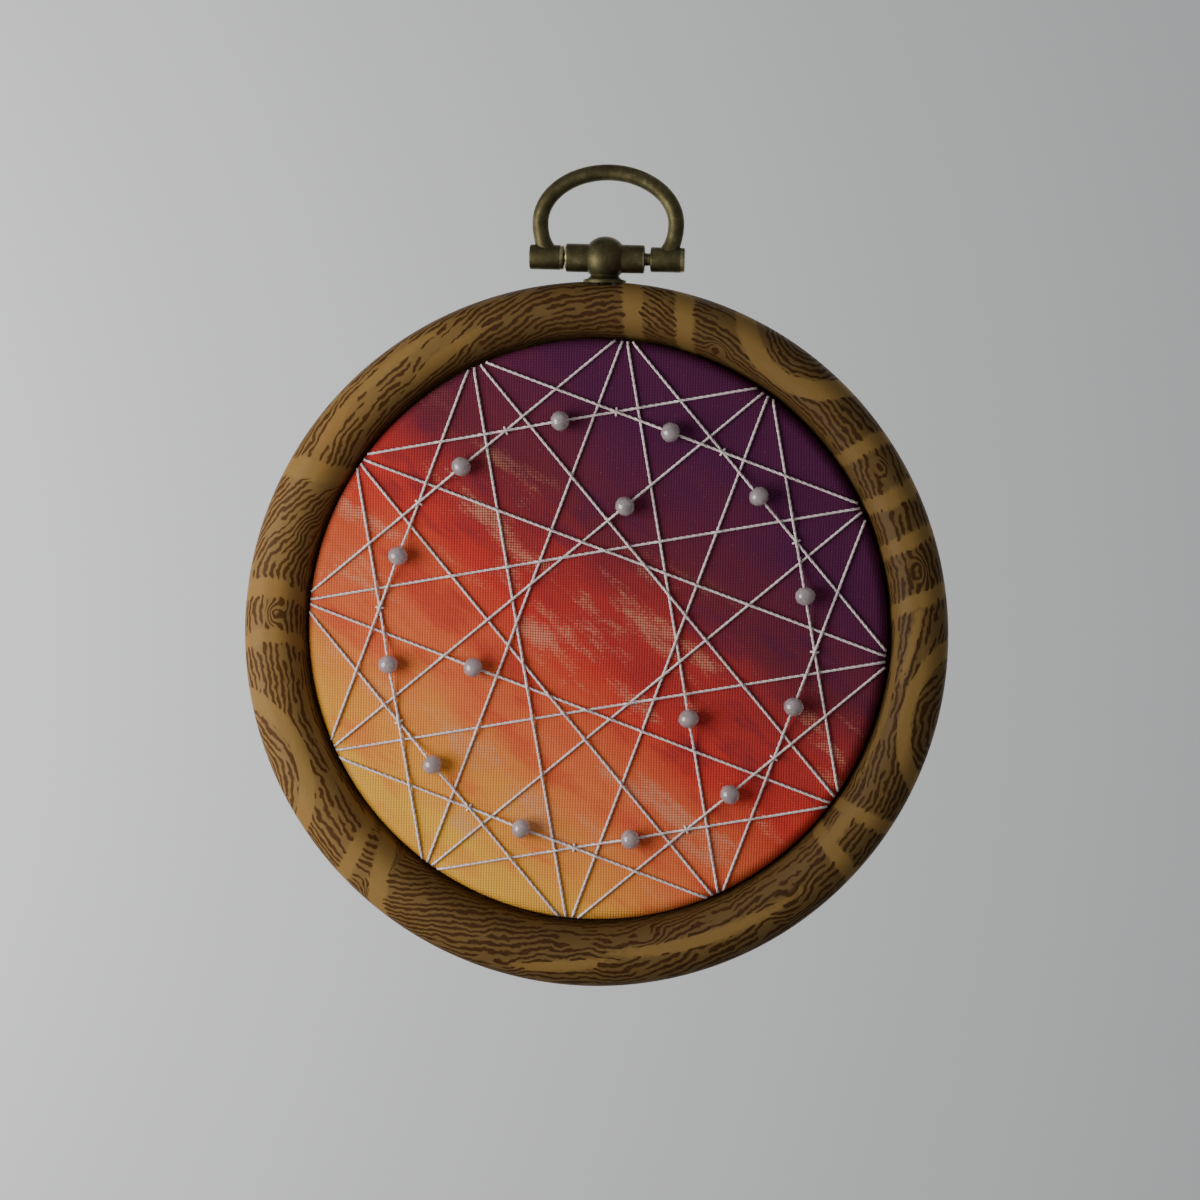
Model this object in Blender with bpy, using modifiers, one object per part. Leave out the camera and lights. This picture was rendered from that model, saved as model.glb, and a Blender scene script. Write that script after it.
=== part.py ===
"""A round textile picture in a flexible two-ring hoop, hung by a hinged metal bail.

The cloth is stretched over a stiff inner ring, and a soft outer ring grips it from outside.
The front faces -Y and +Z is up. The origin is the underside of the bail's arch, where it bears when hung.
Run it with: blender --background --python part.py
"""

import math

import bmesh
import bpy

MM = 0.001
FULL_TURN = 2 * math.pi

# Driving sizes, in millimetres
HOOP_OUTER_RADIUS = 60.5
HOOP_FRONT = 5.5
HOOP_BACK = -5.0
CLOTH_EDGE_RADIUS = 49.9
CLOTH_FACE = 2.2
CLOTH_THICKNESS = 1.0
FIT_GAP = 0.3
RING_STEPS = 64

# The soft outer ring gives, so its outside lies a little left of the opening and below it
OUTSIDE_LEFT = 0.35
OUTSIDE_BELOW = 0.85

# Soft outer ring: its section, as distances from the middle and from mid-depth
OUTER_WALL_RADIUS = CLOTH_EDGE_RADIUS + FIT_GAP
MOUTH_RADIUS = OUTER_WALL_RADIUS + 0.4
CROWN_RADIUS = 55.6
CROWN_WIDTH = 0.8
LAND_FRONT = 1.0
LAND_BACK = -1.3
BACK_FLAT_OUTER = 57.0
BACK_FLAT_INNER = 51.3
BACK_CHAMFER_START = -4.1

# Ridge of the outer ring that presses the cloth into a groove of the inner ring
GRIP_DEPTH = 0.7
GRIP_MIDDLE = -1.9
GRIP_HALF_WIDTH = 1.6
GRIP_STEPS = 4

# Cloth: where its face turns down over the inner ring, and where it is trimmed
TURN_RADIUS = 2.2
CLOTH_TRIM = -4.5

# Stiff inner ring
INNER_RING_BORE = 45.4
INNER_RING_BACK = -4.7
INNER_EDGE_ROUND = 0.6

# Hanger: heights are from the hinge axis, which is also the middle of the ball
HINGE_ABOVE_HOOP = 4.0
BALL_RADIUS = 3.8
KNUCKLE_RADIUS = 2.45
KNUCKLE_LENGTH = 13.6
FLANGE_RADIUS = 3.7
FLANGE_EDGE = 0.65
NECK_RADIUS = 2.4
STEM_RADIUS = 1.25
STEM_LENGTH = 6.0
SEAT_DEPTH = 0.6
PIN_RADIUS = 1.1
PIN_LENGTH = 24.6
EDGE_CHAMFER = 0.3
BALL_SEGMENTS = 28
BALL_RINGS = 16
ROUND_SIDES = 24
PIN_SIDES = 16

# Bail: a rod bent to an oval arch with longer legs, and a barrel at each foot
ROD_RADIUS = 1.4
ARCH_HALF_WIDTH = 11.65
ARCH_HALF_HEIGHT = 8.7
LEG_HALF_HEIGHT = 11.0
ARCH_CENTRE = 6.0
ARCH_FOOT = 1.2
ARCH_POINTS = 33
ROD_RESOLUTION = 5
BARREL_RADIUS = 2.15
BARREL_INNER_END = 7.45
BARREL_OUTER_END = 13.3
BORE_OUTER_END = 12.6
SIDE_PLAY = 0.35

# Heights in the part's own frame
NAIL_SEAT = ARCH_CENTRE + ARCH_HALF_HEIGHT - ROD_RADIUS
HINGE_Z = -NAIL_SEAT
HOOP_CENTRE_DROP = HINGE_ABOVE_HOOP + HOOP_OUTER_RADIUS


def clear_scene():
    for old in list(bpy.data.objects):
        bpy.data.objects.remove(old)


def new_collection(name):
    collection = bpy.data.collections.new(name)
    bpy.context.scene.collection.children.link(collection)
    return collection


def finish_material(name, colour, roughness, metallic):
    material = bpy.data.materials.new(name)
    material.use_nodes = True
    shader = material.node_tree.nodes["Principled BSDF"]
    shader.inputs["Base Color"].default_value = (*colour, 1.0)
    shader.inputs["Roughness"].default_value = roughness
    shader.inputs["Metallic"].default_value = metallic
    return material


def arc(centre, radii, start_deg, end_deg, steps):
    """Points of an upright ellipse about centre, as (distance from the axis, height), both ends included."""
    points = []
    for step in range(steps + 1):
        angle = math.radians(start_deg + (end_deg - start_deg) * step / steps)
        across = centre[0] + radii[0] * math.cos(angle)
        height = centre[1] + radii[1] * math.sin(angle)
        points.append((across, height))
    return points


def grip_heights():
    """Heights down the gripping wall, from above the ridge to below it."""
    top = GRIP_MIDDLE + GRIP_HALF_WIDTH
    return [top - 2 * GRIP_HALF_WIDTH * step / GRIP_STEPS for step in range(GRIP_STEPS + 1)]


def grip_wall(radius):
    """The wall at this radius as it bends inwards along the ridge, from front to back."""
    wall = []
    for height in grip_heights():
        phase = math.pi * (height - GRIP_MIDDLE) / GRIP_HALF_WIDTH
        wall.append((radius - GRIP_DEPTH * (1 + math.cos(phase)) / 2, height))
    return wall


def profile_mesh(name, profile, closed):
    """A line of edges in the local XZ plane, in metres, for a Screw modifier to turn."""
    shape = bmesh.new()
    corners = [shape.verts.new((across * MM, 0.0, height * MM)) for across, height in profile]
    for first, second in zip(corners, corners[1:]):
        shape.edges.new((first, second))
    if closed:
        shape.edges.new((corners[-1], corners[0]))
    mesh = bpy.data.meshes.new(name)
    shape.to_mesh(mesh)
    shape.free()
    return mesh


def turned(name, profile, collection, steps=RING_STEPS, closed=True):
    """A solid turned about its local Z axis from a profile that runs down its outer side."""
    piece = bpy.data.objects.new(name, profile_mesh(name, profile, closed))
    collection.objects.link(piece)
    screw = piece.modifiers.new("turn", "SCREW")
    screw.angle = FULL_TURN
    screw.steps = steps
    screw.render_steps = steps
    screw.use_merge_vertices = True
    screw.merge_threshold = 0.00001
    screw.use_smooth_shade = True
    return piece


def cylinder_along_x(name, radius, start, end, collection, sides=ROUND_SIDES, chamfer=0.0):
    """A solid cylinder on the local X axis between two distances."""
    bpy.ops.mesh.primitive_cylinder_add(
        vertices=sides, radius=radius * MM, depth=(end - start) * MM, rotation=(0, math.pi / 2, 0)
    )
    piece = bpy.context.object
    bpy.ops.object.transform_apply(location=False, rotation=True, scale=False)
    piece.name = name
    piece.location = ((start + end) / 2 * MM, 0, 0)
    move_to(piece, collection)
    if chamfer:
        bevel = piece.modifiers.new("chamfer", "BEVEL")
        bevel.width = chamfer * MM
        bevel.segments = 1
        bevel.limit_method = "ANGLE"
    return piece


def move_to(piece, collection):
    for holder in list(piece.users_collection):
        holder.objects.unlink(piece)
    collection.objects.link(piece)


def as_tool(piece):
    """Keeps a helper shape out of the model: it only joins or cuts another piece."""
    piece.hide_render = True
    piece.display_type = "WIRE"
    return piece


def combine(piece, operation, tool):
    boolean = piece.modifiers.new(f"{operation.lower()} {tool.name}", "BOOLEAN")
    boolean.operation = operation
    boolean.solver = "EXACT"
    boolean.object = as_tool(tool)


def hang_on(piece, empty, location=(0.0, 0.0, 0.0)):
    piece.parent = empty
    piece.location = [part * MM for part in location]


def empty_at(name, location, collection):
    empty = bpy.data.objects.new(name, None)
    empty.location = [part * MM for part in location]
    collection.objects.link(empty)
    return empty


def outer_hoop_profile():
    """Rounded section with a flat back, a gripping ridge inside and a soft front crown."""
    crown_inner = CROWN_RADIUS - CROWN_WIDTH / 2
    crown_outer = CROWN_RADIUS + CROWN_WIDTH / 2
    front_height = HOOP_FRONT - LAND_FRONT
    back_height = LAND_BACK - HOOP_BACK
    back_width = HOOP_OUTER_RADIUS - BACK_FLAT_OUTER
    outer_front = arc(
        (crown_outer, LAND_FRONT), (HOOP_OUTER_RADIUS - crown_outer, front_height), 90, 0, 6
    )
    outer_back = arc((BACK_FLAT_OUTER, LAND_BACK), (back_width, back_height), 0, -90, 4)
    wall = grip_wall(OUTER_WALL_RADIUS)
    wall.reverse()
    inner_front = arc(
        (crown_inner, LAND_FRONT), (crown_inner - MOUTH_RADIUS, front_height), 180, 90, 6
    )
    back_edge = [(BACK_FLAT_INNER, HOOP_BACK), (OUTER_WALL_RADIUS, BACK_CHAMFER_START)]
    return outer_front + outer_back + back_edge + wall + inner_front


def cloth_profile():
    """Cloth face, turned down over the inner ring and trimmed near the back."""
    turn_centre = (CLOTH_EDGE_RADIUS - TURN_RADIUS, CLOTH_FACE - TURN_RADIUS)
    inside = TURN_RADIUS - CLOTH_THICKNESS
    outer_turn = arc(turn_centre, (TURN_RADIUS, TURN_RADIUS), 90, 0, 4)
    inner_turn = arc(turn_centre, (inside, inside), 0, 90, 3)
    outer_wall = grip_wall(CLOTH_EDGE_RADIUS)
    inner_wall = grip_wall(CLOTH_EDGE_RADIUS - CLOTH_THICKNESS)
    inner_wall.reverse()
    trim = [
        (CLOTH_EDGE_RADIUS, CLOTH_TRIM),
        (CLOTH_EDGE_RADIUS - CLOTH_THICKNESS, CLOTH_TRIM),
    ]
    face_middle = [(0.0, CLOTH_FACE)]
    underside_middle = [(0.0, CLOTH_FACE - CLOTH_THICKNESS)]
    return face_middle + outer_turn + outer_wall + trim + inner_wall + inner_turn + underside_middle


def inner_hoop_profile():
    """Stiff ring that the cloth is stretched over, grooved to take the ridge."""
    radius = CLOTH_EDGE_RADIUS - CLOTH_THICKNESS - FIT_GAP
    turn_centre = (CLOTH_EDGE_RADIUS - TURN_RADIUS, CLOTH_FACE - TURN_RADIUS)
    edge = TURN_RADIUS - CLOTH_THICKNESS - FIT_GAP
    front = turn_centre[1] + edge
    front_outer = arc(turn_centre, (edge, edge), 90, 0, 3)
    round_centre = (INNER_RING_BORE + INNER_EDGE_ROUND, front - INNER_EDGE_ROUND)
    front_inner = arc(round_centre, (INNER_EDGE_ROUND, INNER_EDGE_ROUND), 180, 90, 2)
    back = [(radius, INNER_RING_BACK), (INNER_RING_BORE, INNER_RING_BACK)]
    return front_outer + grip_wall(radius) + back + front_inner


def slide_outside(ring):
    """Slides the outside of a turned ring left and down, and less towards its opening, which stays."""
    graph = bpy.context.evaluated_depsgraph_get()
    mesh = bpy.data.meshes.new_from_object(ring.evaluated_get(graph))
    ring.modifiers.clear()
    ring.data = mesh
    rim_width = (HOOP_OUTER_RADIUS - OUTER_WALL_RADIUS) * MM
    for vertex in mesh.vertices:
        across_rim = math.hypot(vertex.co.x, vertex.co.y) - OUTER_WALL_RADIUS * MM
        share = min(max(across_rim / rim_width, 0), 1)
        vertex.co.x -= OUTSIDE_LEFT * MM * share
        vertex.co.y -= OUTSIDE_BELOW * MM * share


def make_hoop(parts, tools, hoop_hinge):
    """The two rings and the cloth, all turned about the opening's axis and facing -Y."""
    facing_front = (math.pi / 2, 0, 0)
    centre = (OUTSIDE_LEFT, 0, OUTSIDE_BELOW - HOOP_CENTRE_DROP)
    vinyl = finish_material("woodgrain_vinyl", (0.23, 0.13, 0.045), 0.45, 0.0)
    plastic = finish_material("inner_ring_plastic", (0.32, 0.19, 0.08), 0.5, 0.0)
    fabric = finish_material("painted_cloth", (0.52, 0.06, 0.035), 0.85, 0.0)
    pieces = (
        ("outer_hoop", outer_hoop_profile(), vinyl, True),
        ("inner_hoop", inner_hoop_profile(), plastic, True),
        ("cloth", cloth_profile(), fabric, False),
    )
    made = {}
    for name, profile, material, closed in pieces:
        piece = turned(name, profile, parts, closed=closed)
        piece.data.materials.append(material)
        piece.rotation_euler = facing_front
        hang_on(piece, hoop_hinge, centre)
        made[name] = piece
    slide_outside(made["outer_hoop"])
    cut_hanger_socket(made["outer_hoop"], tools, hoop_hinge)


def cut_hanger_socket(outer_hoop, tools, hoop_hinge):
    """A flat seat in the top of the outer ring for the flange, and a blind hole for the stem."""
    seat_height = -HINGE_ABOVE_HOOP - SEAT_DEPTH
    flange_bottom = seat_height + FIT_GAP
    hole_bottom = flange_bottom - STEM_LENGTH - FIT_GAP
    hole_radius = STEM_RADIUS + FIT_GAP
    seat_radius = FLANGE_RADIUS + FIT_GAP
    profile = [
        (0.0, 0.0),
        (seat_radius, 0.0),
        (seat_radius, seat_height),
        (hole_radius, seat_height),
        (hole_radius, hole_bottom),
        (0.0, hole_bottom),
    ]
    cutter = turned("socket_cutter", profile, tools, steps=ROUND_SIDES, closed=False)
    hang_on(cutter, hoop_hinge)
    combine(outer_hoop, "DIFFERENCE", cutter)


def make_post(parts, tools, hoop_hinge, brass):
    """One casting: a stem and flange, a ball, and the knuckle that the pin runs through."""
    flange_bottom = -HINGE_ABOVE_HOOP - SEAT_DEPTH + FIT_GAP
    flange_top = flange_bottom + FLANGE_EDGE
    neck_top = -math.sqrt(BALL_RADIUS**2 - NECK_RADIUS**2) + EDGE_CHAMFER
    flare = arc(
        (FLANGE_RADIUS, neck_top),
        (FLANGE_RADIUS - NECK_RADIUS, neck_top - flange_top),
        180,
        270,
        4,
    )
    profile = [
        (0.0, neck_top),
        *flare,
        (FLANGE_RADIUS, flange_bottom),
        (STEM_RADIUS, flange_bottom),
        (STEM_RADIUS, flange_bottom - STEM_LENGTH),
        (0.0, flange_bottom - STEM_LENGTH),
    ]
    post = turned("hanger_post", profile, parts, steps=ROUND_SIDES, closed=False)
    post.data.materials.append(brass)
    hang_on(post, hoop_hinge)
    bpy.ops.mesh.primitive_uv_sphere_add(
        segments=BALL_SEGMENTS, ring_count=BALL_RINGS, radius=BALL_RADIUS * MM
    )
    ball = bpy.context.object
    ball.name = "ball_tool"
    move_to(ball, tools)
    half = KNUCKLE_LENGTH / 2
    knuckle = cylinder_along_x(
        "knuckle_tool", KNUCKLE_RADIUS, -half, half, tools, chamfer=EDGE_CHAMFER
    )
    beyond = half + 1
    bore = cylinder_along_x("knuckle_bore", PIN_RADIUS + FIT_GAP, -beyond, beyond, tools, PIN_SIDES)
    for operation, tool in (("UNION", ball), ("UNION", knuckle), ("DIFFERENCE", bore)):
        hang_on(tool, hoop_hinge)
        combine(post, operation, tool)


def arch_points():
    """Centre line of the rod, from one barrel up over the top to the other."""
    dip = math.asin((ARCH_CENTRE - ARCH_FOOT) / LEG_HALF_HEIGHT)
    points = []
    for step in range(ARCH_POINTS):
        angle = -dip + (math.pi + 2 * dip) * step / (ARCH_POINTS - 1)
        rise = math.sin(angle)
        half_height = ARCH_HALF_HEIGHT if rise > 0 else LEG_HALF_HEIGHT
        points.append((ARCH_HALF_WIDTH * math.cos(angle), ARCH_CENTRE + half_height * rise))
    return points


def make_rod(parts):
    """The bent rod as a closed mesh, made from a bevelled curve with its caps welded."""
    line = bpy.data.curves.new("rod_line", "CURVE")
    line.dimensions = "3D"
    line.bevel_depth = ROD_RADIUS * MM
    line.bevel_resolution = ROD_RESOLUTION
    line.use_fill_caps = True
    spline = line.splines.new("POLY")
    points = arch_points()
    spline.points.add(len(points) - 1)
    for target, (across, height) in zip(spline.points, points):
        target.co = (across * MM, 0, height * MM, 1)
    source = bpy.data.objects.new("rod_curve", line)
    parts.objects.link(source)
    graph = bpy.context.evaluated_depsgraph_get()
    mesh = bpy.data.meshes.new_from_object(source.evaluated_get(graph))
    shape = bmesh.new()
    shape.from_mesh(mesh)
    bmesh.ops.remove_doubles(shape, verts=shape.verts, dist=0.000001)
    bmesh.ops.recalc_face_normals(shape, faces=shape.faces)
    shape.to_mesh(mesh)
    shape.free()
    mesh.name = "bail"
    rod = bpy.data.objects.new("bail", mesh)
    rod.matrix_world = source.matrix_world
    parts.objects.link(rod)
    bpy.data.objects.remove(source)
    return rod


def make_bail(parts, tools, bail_hinge, brass):
    """The arch with a barrel on each foot, and the pin through both barrels."""
    bail = make_rod(parts)
    bail.data.materials.clear()
    bail.data.materials.append(brass)
    bail.data.shade_smooth()
    hang_on(bail, bail_hinge)
    bore_radius = PIN_RADIUS + FIT_GAP
    for name, side in (("left", -1), ("right", 1)):
        ends = sorted((side * BARREL_INNER_END, side * BARREL_OUTER_END))
        barrel = cylinder_along_x(
            f"{name}_barrel_tool", BARREL_RADIUS, *ends, tools, chamfer=EDGE_CHAMFER
        )
        barrel_place = tuple(part / MM for part in barrel.location)
        hang_on(barrel, bail_hinge, barrel_place)
        combine(bail, "UNION", barrel)
    for name, side in (("left", -1), ("right", 1)):
        ends = sorted((side * (BARREL_INNER_END - 1), side * BORE_OUTER_END))
        bore = cylinder_along_x(f"{name}_barrel_bore", bore_radius, *ends, tools, PIN_SIDES)
        bore_place = tuple(part / MM for part in bore.location)
        hang_on(bore, bail_hinge, bore_place)
        combine(bail, "DIFFERENCE", bore)
    half = PIN_LENGTH / 2
    pin = cylinder_along_x(
        "hinge_pin", PIN_RADIUS, -half, half, parts, PIN_SIDES, chamfer=EDGE_CHAMFER
    )
    pin.data.materials.append(brass)
    hang_on(pin, bail_hinge)


def shade_by_angle(parts):
    sharp_from = math.radians(35)
    for piece in parts.objects:
        if piece.type == "MESH":
            piece.data.shade_smooth()
            piece.data.set_sharp_from_angle(angle=sharp_from)


def main():
    clear_scene()
    parts = new_collection("hoop_embroidery_art")
    tools = new_collection("cutters")
    tools.hide_render = True
    brass = finish_material("antique_brass", (0.19, 0.15, 0.085), 0.38, 1.0)
    bail_hinge = empty_at("bail_hinge", (0, 0, HINGE_Z), parts)
    hoop_hinge = empty_at("hoop_hinge", (-SIDE_PLAY, 0, HINGE_Z), parts)
    make_hoop(parts, tools, hoop_hinge)
    make_post(parts, tools, hoop_hinge, brass)
    make_bail(parts, tools, bail_hinge, brass)
    shade_by_angle(parts)


main()
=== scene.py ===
"""Builds the finished look of a small embroidered picture in a wood-grain hoop.

The hoop hangs from a hinged bail. The front faces -Y and +Z is up. Meshes are in metres, and the
tables and the constants below are in millimetres, which MM turns into metres.
"""

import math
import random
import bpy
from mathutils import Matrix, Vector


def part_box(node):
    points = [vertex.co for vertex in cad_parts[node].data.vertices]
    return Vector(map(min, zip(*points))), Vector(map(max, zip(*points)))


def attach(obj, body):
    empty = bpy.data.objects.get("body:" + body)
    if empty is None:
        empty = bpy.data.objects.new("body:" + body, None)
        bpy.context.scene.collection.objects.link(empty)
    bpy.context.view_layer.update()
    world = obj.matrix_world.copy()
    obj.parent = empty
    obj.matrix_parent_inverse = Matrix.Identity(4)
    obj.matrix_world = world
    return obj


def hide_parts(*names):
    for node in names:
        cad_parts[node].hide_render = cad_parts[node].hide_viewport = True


bl_info = {
    "name": "Hoop Embroidery Art",
    "version": (1, 0, 0),
    "blender": (4, 5, 0),
    "location": "View3D > Sidebar > Hoop Art",
    "description": "Models an embroidered picture in a wood-grain hoop, with its hanger and a studio",
    "category": "Add Mesh",
}

from collections import namedtuple

import bmesh
import bpy
from bpy.props import FloatProperty, FloatVectorProperty, IntProperty, PointerProperty
from mathutils import Matrix, Vector, noise

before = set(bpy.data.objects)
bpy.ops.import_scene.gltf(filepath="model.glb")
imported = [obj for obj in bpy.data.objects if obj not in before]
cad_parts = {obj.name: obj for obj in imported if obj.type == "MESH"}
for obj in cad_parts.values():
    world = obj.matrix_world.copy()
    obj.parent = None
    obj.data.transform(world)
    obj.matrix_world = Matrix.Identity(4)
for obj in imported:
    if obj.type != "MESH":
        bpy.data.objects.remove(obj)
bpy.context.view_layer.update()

MM = 0.001
FULL_TURN = 2 * math.pi
FRONT = Vector((0, -1, 0))
UP = Vector((0, 0, 1))
RIGHT = Vector((1, 0, 0))

HOOP_BODY = "hoop"
BAIL_BODY = "bail"


def in_mm(corner):
    return Vector(corner) / MM


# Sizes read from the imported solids, in millimetres
RING_LOW, RING_HIGH = map(in_mm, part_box("outer_hoop"))
CLOTH_LOW, CLOTH_HIGH = map(in_mm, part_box("cloth"))
INNER_LOW, INNER_HIGH = map(in_mm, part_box("inner_hoop"))
PIN_LOW, PIN_HIGH = map(in_mm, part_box("hinge_pin"))
POST_LOW, POST_HIGH = map(in_mm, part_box("hanger_post"))
BAIL_LOW, BAIL_HIGH = map(in_mm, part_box("bail"))

RING_RADIUS = (RING_HIGH.x - RING_LOW.x) / 2
CLOTH_RADIUS = (CLOTH_HIGH.x - CLOTH_LOW.x) / 2
MIDDLE = (CLOTH_LOW + CLOTH_HIGH) / 2
OUTSIDE_SHIFT_X = (RING_LOW.x + RING_HIGH.x) / 2 - MIDDLE.x
OUTSIDE_SHIFT_Z = RING_LOW.z + RING_RADIUS - MIDDLE.z
FRONT_HEIGHT = -RING_LOW.y
BACK_HEIGHT = -RING_HIGH.y
FACE_HEIGHT = -CLOTH_LOW.y
HINGE = (PIN_LOW + PIN_HIGH) / 2
POST_X = (POST_LOW.x + POST_HIGH.x) / 2

# Section of the soft outer ring: distances from the middle, and heights towards the front
INSIDE_RADIUS = CLOTH_RADIUS + 0.3
MOUTH_RADIUS = INSIDE_RADIUS + 0.4
FRONT_LINE = 55.6
FRONT_LINE_WIDTH = 0.8
LAND_FRONT = 1.0
LAND_BACK = -1.3
BACK_FLAT_OUTER = 57.0
BACK_FLAT_INNER = 51.3
BACK_CHAMFER_START = -4.1
GRIP_DEPTH = 0.7
GRIP_MIDDLE = -1.9
GRIP_HALF_WIDTH = 1.6
SECTION_RADIUS = 5.3

# Where the cloth turns down over the inner ring, and how thin it is next to its solid
TURN_RADIUS = 2.2
CLOTH_TRIM = -4.5
INNER_BORE = 45.4
INNER_BACK = -INNER_HIGH.y
SLACK = 0.05

# Hanger
BALL_RADIUS = POST_HIGH.z - HINGE.z
KNUCKLE_RADIUS = 2.45
KNUCKLE_HALF = 6.8
FLANGE_RADIUS = 3.7
FLANGE_EDGE = 0.65
NECK_RADIUS = 2.4
STEM_RADIUS = 1.25
STEM_LENGTH = 6.0
ROOT_GAP = 0.3
FLANGE_BOTTOM = POST_LOW.z + STEM_LENGTH - HINGE.z
PIN_RADIUS = (PIN_HIGH.z - PIN_LOW.z) / 2
BORE_RADIUS = PIN_RADIUS + 0.3
ROD_RADIUS = 1.4
BARREL_RADIUS = BAIL_HIGH.y
BARREL_OUTER_END = BAIL_HIGH.x
BARREL_INNER_END = 7.45
BORE_OUTER_END = 12.6
ARCH_HALF_WIDTH = 11.65
ARCH_HALF_HEIGHT = 8.7
LEG_HALF_HEIGHT = 11.0
ARCH_CENTRE = 6.0
ARCH_FOOT = 1.2

# The wood-grain print. Degrees run clockwise from the top as seen from the front. Depth is in
# millimetres over the surface, from the ring's front line towards the opening; below 0 is outside it
MM_PER_DEGREE = math.radians(1) * FRONT_LINE
PRINT_TURN = 2.0
PRINT_HALF_DEPTH = 8.3
SEAM_DEPTH = 14.6
FADE_START = 14.2
FADE_END = 15.6
LINE_EDGE = 0.08

PlainBand = namedtuple("PlainBand", "outside_deg opening_deg width bow_deg")
PLAIN_BANDS = (
    PlainBand(6.0, 8.4, 3.2, 0.0),
    PlainBand(14.3, 18.7, 3.0, 0.0),
    PlainBand(56.5, 55.0, 2.3, 0.0),
    PlainBand(65.0, 65.0, 2.8, 1.0),
    PlainBand(72.8, 75.2, 2.4, 0.0),
    PlainBand(82.0, 87.0, 2.4, 0.0),
    PlainBand(123.5, 125.5, 2.2, 0.0),
    PlainBand(134.0, 131.0, 2.4, 0.0),
    PlainBand(217.0, 226.5, 3.1, 0.0),
    PlainBand(225.7, 232.0, 2.3, -0.8),
    PlainBand(266.6, 266.6, 2.2, 3.2),
    PlainBand(275.3, 275.3, 3.0, 3.0),
    PlainBand(297.8, 303.0, 3.3, 0.0),
)

# A plain band that goes round an oval knot
Loop = namedtuple("Loop", "centre_deg depth half_length half_width width")
LOOPS = (
    Loop(36.0, -6.5, 9.8, 8.4, 3.0),
    Loop(104.0, -7.0, 11.2, 7.8, 2.3),
    Loop(248.5, -7.0, 11.0, 8.0, 2.6),
)

# A long plain streak between the lines
Streak = namedtuple("Streak", "centre_deg depth half_length half_width rise")
STREAKS = (
    Streak(101.0, 4.8, 14.0, 0.7, 0.0),
    Streak(128.2, 2.4, 4.0, 1.1, 0.0),
    Streak(92.0, 1.4, 6.5, 0.55, 0.22),
    Streak(160.0, 0.2, 14.5, 0.9, 0.04),
    Streak(186.0, -1.6, 7.0, 0.8, -0.16),
    Streak(244.0, 5.0, 14.0, 0.5, 0.0),
    Streak(309.0, -1.2, 5.0, 0.9, -0.12),
    Streak(323.0, -2.0, 8.0, 0.8, -0.05),
    Streak(331.0, 2.0, 7.5, 0.9, -0.16),
)

# A lighter patch, where the lines break into bold dashes
Patch = namedtuple("Patch", "centre_deg depth half_length half_width")
PATCHES = (
    Patch(321.0, -0.6, 23.0, 5.0),
    Patch(10.5, -2.0, 3.0, 5.0),
)

# A small knot that the lines part around
Knot = namedtuple("Knot", "centre_deg depth half_length half_width lift")
KNOTS = (
    Knot(144.0, -1.5, 5.0, 3.4, 2.2),
    Knot(290.0, 3.4, 3.6, 2.6, 1.6),
    Knot(314.0, -3.0, 4.0, 2.2, 1.0),
    Knot(196.0, -3.4, 4.4, 2.4, 1.0),
    Knot(23.8, 3.0, 2.6, 1.7, 1.9),
    Knot(60.4, -1.0, 2.6, 1.8, 2.0),
    Knot(79.0, -0.7, 3.2, 1.9, 2.1),
    Knot(273.8, 0.6, 2.6, 1.8, 2.0),
    Knot(170.0, 2.6, 4.0, 2.0, 1.6),
)

# Places round the ring in degrees, and how many millimetres the lines have drifted there towards
# the opening. The jumps lie under plain bands
DRIFTS = (
    (0.0, 3.4), (7.0, 4.4), (7.6, 8.0), (16.0, 4.2), (17.0, 7.3), (30.0, 4.2),
    (44.0, 4.2), (56.0, 3.6), (65.0, 2.3), (86.0, 2.3), (98.0, -0.2), (112.0, -0.2),
    (124.0, 1.0), (125.0, -8.0), (150.0, -8.0), (168.0, -5.4), (180.0, -4.2), (190.0, -3.4),
    (200.0, -1.1), (210.0, 2.8), (221.0, 7.6), (222.5, 2.0), (229.0, 3.4), (242.0, 3.8),
    (282.0, 5.0), (299.0, -2.0), (301.0, -8.0), (333.0, -4.6), (350.0, 1.9), (360.0, 3.4),
)
DRIFT_REACH = 10.0

# The painted blend: how far it leans, in degrees, and where its colours stand from top to bottom
BLEND_LEAN = 38.0
BLEND_STOPS = (0.0, 0.16, 0.36, 0.55, 0.74, 0.93)

# How unevenly the taut cloth lies, in millimetres: soft rises, and tugs that start outside TUG_START
SOFT_RISE = 0.16
SOFT_SCALE = 0.045
TUG_RISE = 0.14
TUG_SCALE = 9.0
TUG_START = 30.0
TUG_WIDTH = 19.0
EVEN_RADIUS = CLOTH_RADIUS - 1.2
EVEN_FADE = 2.5

# The stitched star: each polygon joins every so-many-th of the points round the cloth's edge
STAR_POINTS = 12
STAR_TURN = math.radians(4)
END_RADIUS = CLOTH_RADIUS - 0.2
Polygon = namedtuple("Polygon", "name step slide")
POLYGONS = (
    Polygon("inner_star_stitches", 5, 0.5),
    Polygon("outer_star_stitches", 3, 1.55),
)
END_JITTER = 0.22
PLY_SPREAD = 0.30
BEAD_PLACES = (
    # polygon, every so-many-th stitch, and how far along from the stitch's middle
    ("outer_star_stitches", 1, 0.0),
    ("inner_star_stitches", 4, 17.4),
)
BEAD_TENT = 7.0
LIFT_REACH = 1.1
LIFT_LIMIT = 1.6
LIFT_SHARE = 1.7
STEPS_IN_TWIST = 6


def colour_setting(name, description, default):
    return FloatVectorProperty(
        name=name, description=description, default=default, subtype="COLOR"
    )


def length_setting(name, description, default_mm):
    return FloatProperty(
        name=name, description=description, default=default_mm * MM, unit="LENGTH"
    )


def power_setting(name, default):
    return FloatProperty(name=name, description="Power in watts", default=default)


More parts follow.
